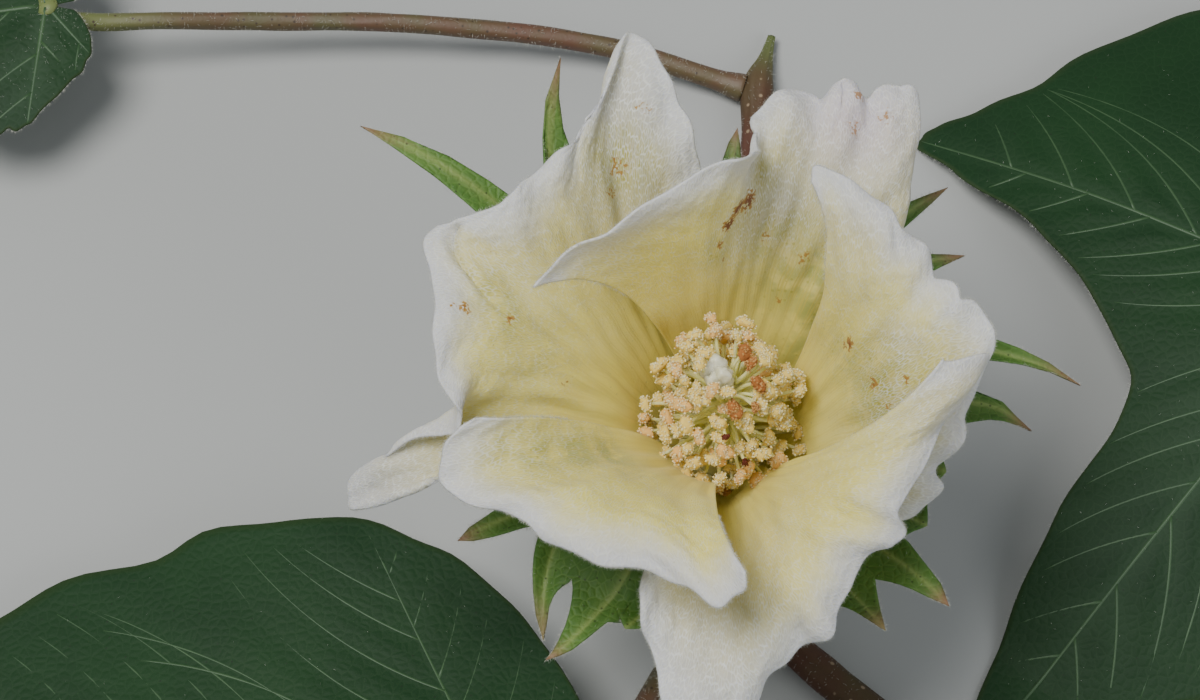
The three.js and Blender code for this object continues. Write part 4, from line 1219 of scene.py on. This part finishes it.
column_rise = np.linspace(0.1, column_height, column_steps) + bloom_lift
column_radii = mix(column_foot, column_tip, np.linspace(0, 1, column_steps) ** column_taper)
stalks = [wrapped_limb(column_rise[:, None] * upwards, column_radii, column_sides)]
anthers = {tone: [] for tone in anther_skins}
for i, (root, tip, tone, size) in enumerate(stamens):
    root, tip = root + upwards * bloom_lift, tip + upwards * bloom_lift
    sag = 0.5 * (root + tip) + upwards * draw.uniform(-0.5, 0.5) + 0.25 * draw.normal(size=3)
    course = grown_course([root, sag, tip], filament_steps)
    radii = np.linspace(filament_radius * 1.15, filament_radius * 0.8, filament_steps + 1)
    stalks.append(wrapped_limb(course, radii, filament_sides))
    direction = unit(course[-1] - course[-2])
    side = unit(np.cross(direction, draw.normal(size=3)))
    anthers[tone] += pouch(tip + 0.25 * direction, direction, side, 1000 + i, size)
add_piece("staminal_column_filaments", joined(stalks), filament_skin, "stamen", "staminal_column")
for tone, parts in anthers.items():
    add_piece(f"anthers_{tone}", joined(parts, "powder"), anther_skins[tone], "stamen", values=["powder"])

# The stigma is the tip of the style, which pushes up through the column: a whitish club whose lobes
# stand close together, smooth and a little moist.
stigma_length = 5.2
stigma_steps = 34
stigma_sides = 26
stigma_lean = np.array([-1.7, -0.2, 0])
# Each lobe is its angle round the style and its share of the stigma's length.
stigma_lobes = [(80, 1.0), (165, 0.94), (250, 0.86), (335, 0.97)]
stigma_skin, tree = new_finish(
    "stigma skin", (0.84, 0.8, 0.62), 0.4, Subsurface_Weight=0.3, Subsurface_Radius=(0.8, 0.8, 0.6),
    Subsurface_Scale=MILLIMETRE)
skin = layered(tree, (0.7, 0.68, 0.48), (patches(tree, 1.4, 0.5, 0.3), (0.78, 0.77, 0.62)))
colour_and_relief(tree, skin, grain(tree, 0.22), 0.4, 0.06)

style_top = np.array([0, 0, bloom_lift + column_height])
share = np.linspace(0, 1, stigma_steps + 1)
rounded_end = np.sqrt(np.clip(1 - (np.clip(share - 0.74, 0, 1) / 0.27) ** 2, 0.01, 1))
lobe_radii = mix(0.5, 0.92, smooth(0, 0.8, share)) * rounded_end
lobes = []
for k, (azimuth, tall) in enumerate(stigma_lobes):
    out = np.array([*compass(azimuth), 0.0])
    course = grown_course([
        style_top + 0.2 * out + (0, 0, -0.6), style_top + 0.45 * out + 0.35 * stigma_lean + (0, 0, 2.0),
        style_top + 1.05 * out + stigma_lean + (0, 0, tall * stigma_length)], stigma_steps)

    def papillae(along, around):
        return 0.12 * bumps(191 + k, along / 0.8, np.cos(around) * 1.4, np.sin(around) * 1.4)

    lobes.append(wrapped_limb(course, lobe_radii, stigma_sides, papillae))
add_piece("stigma_lobes", joined(lobes), stigma_skin, "stigma", "stigma")

# The shoot lies on a plain pale table top under soft studio light, and the camera looks down on the
# bloom from a little in front, near enough that leaves and branch run out of the picture.
table_half = 3.0
table_drop = 0.0002
camera_elevation = math.radians(65)
camera_distance = 0.4
photo_width = 0.132
film_width = 36
picture_right = -0.01342
picture_up = 0.01122
bpy.ops.mesh.primitive_plane_add(size=2 * table_half, location=(0, 0, -table_drop))
table = bpy.context.object
table.name = "table_top"
table.data.materials.append(new_finish("pale table", (0.41, 0.42, 0.41), 0.8)[0])

world = bpy.data.worlds.new("soft room")
bpy.context.scene.world = world
world.use_nodes = True
room = world.node_tree.nodes["Background"].inputs
feed(world.node_tree, room["Color"], (0.9, 0.95, 1.0))
feed(world.node_tree, room["Strength"], 0.33)


def put_in_scene(name, data, place, direction):
    """Adds a light or a camera at a place, turned in a direction."""
    made = bpy.data.objects.new(name, data)
    bpy.context.scene.collection.objects.link(made)
    made.location = place
    made.rotation_mode = "QUATERNION"
    made.rotation_quaternion = Vector(direction).to_track_quat("-Z", "Y")
    return made


def soft_light(name, place, target, size, power, colour):
    light = bpy.data.lights.new(name, "AREA")
    light.shape = "DISK"
    light.size = size
    light.energy = power
    light.color = colour
    put_in_scene(name, light, place, target - np.array(place))


receptacle = (shoot_place + (0, 0, bloom_lift)) * MILLIMETRE
soft_light("key", (-0.28, 0.0, 0.85), receptacle, 0.45, 7.3, (1.0, 0.99, 0.97))
soft_light("fill", (0.6, -0.5, 0.6), receptacle, 0.6, 2.2, (0.95, 0.97, 1.0))

forward = np.array([0, math.cos(camera_elevation), -math.sin(camera_elevation)])
upward = np.array([0, math.sin(camera_elevation), math.cos(camera_elevation)])
aim = receptacle + picture_right * np.array([1, 0, 0]) + picture_up * upward
lens = bpy.data.cameras.new("camera")
lens.sensor_width = film_width
lens.lens = film_width * camera_distance / photo_width
lens.clip_start = 0.01
lens.clip_end = 20
bpy.context.scene.camera = put_in_scene("camera", lens, aim - camera_distance * forward, forward)
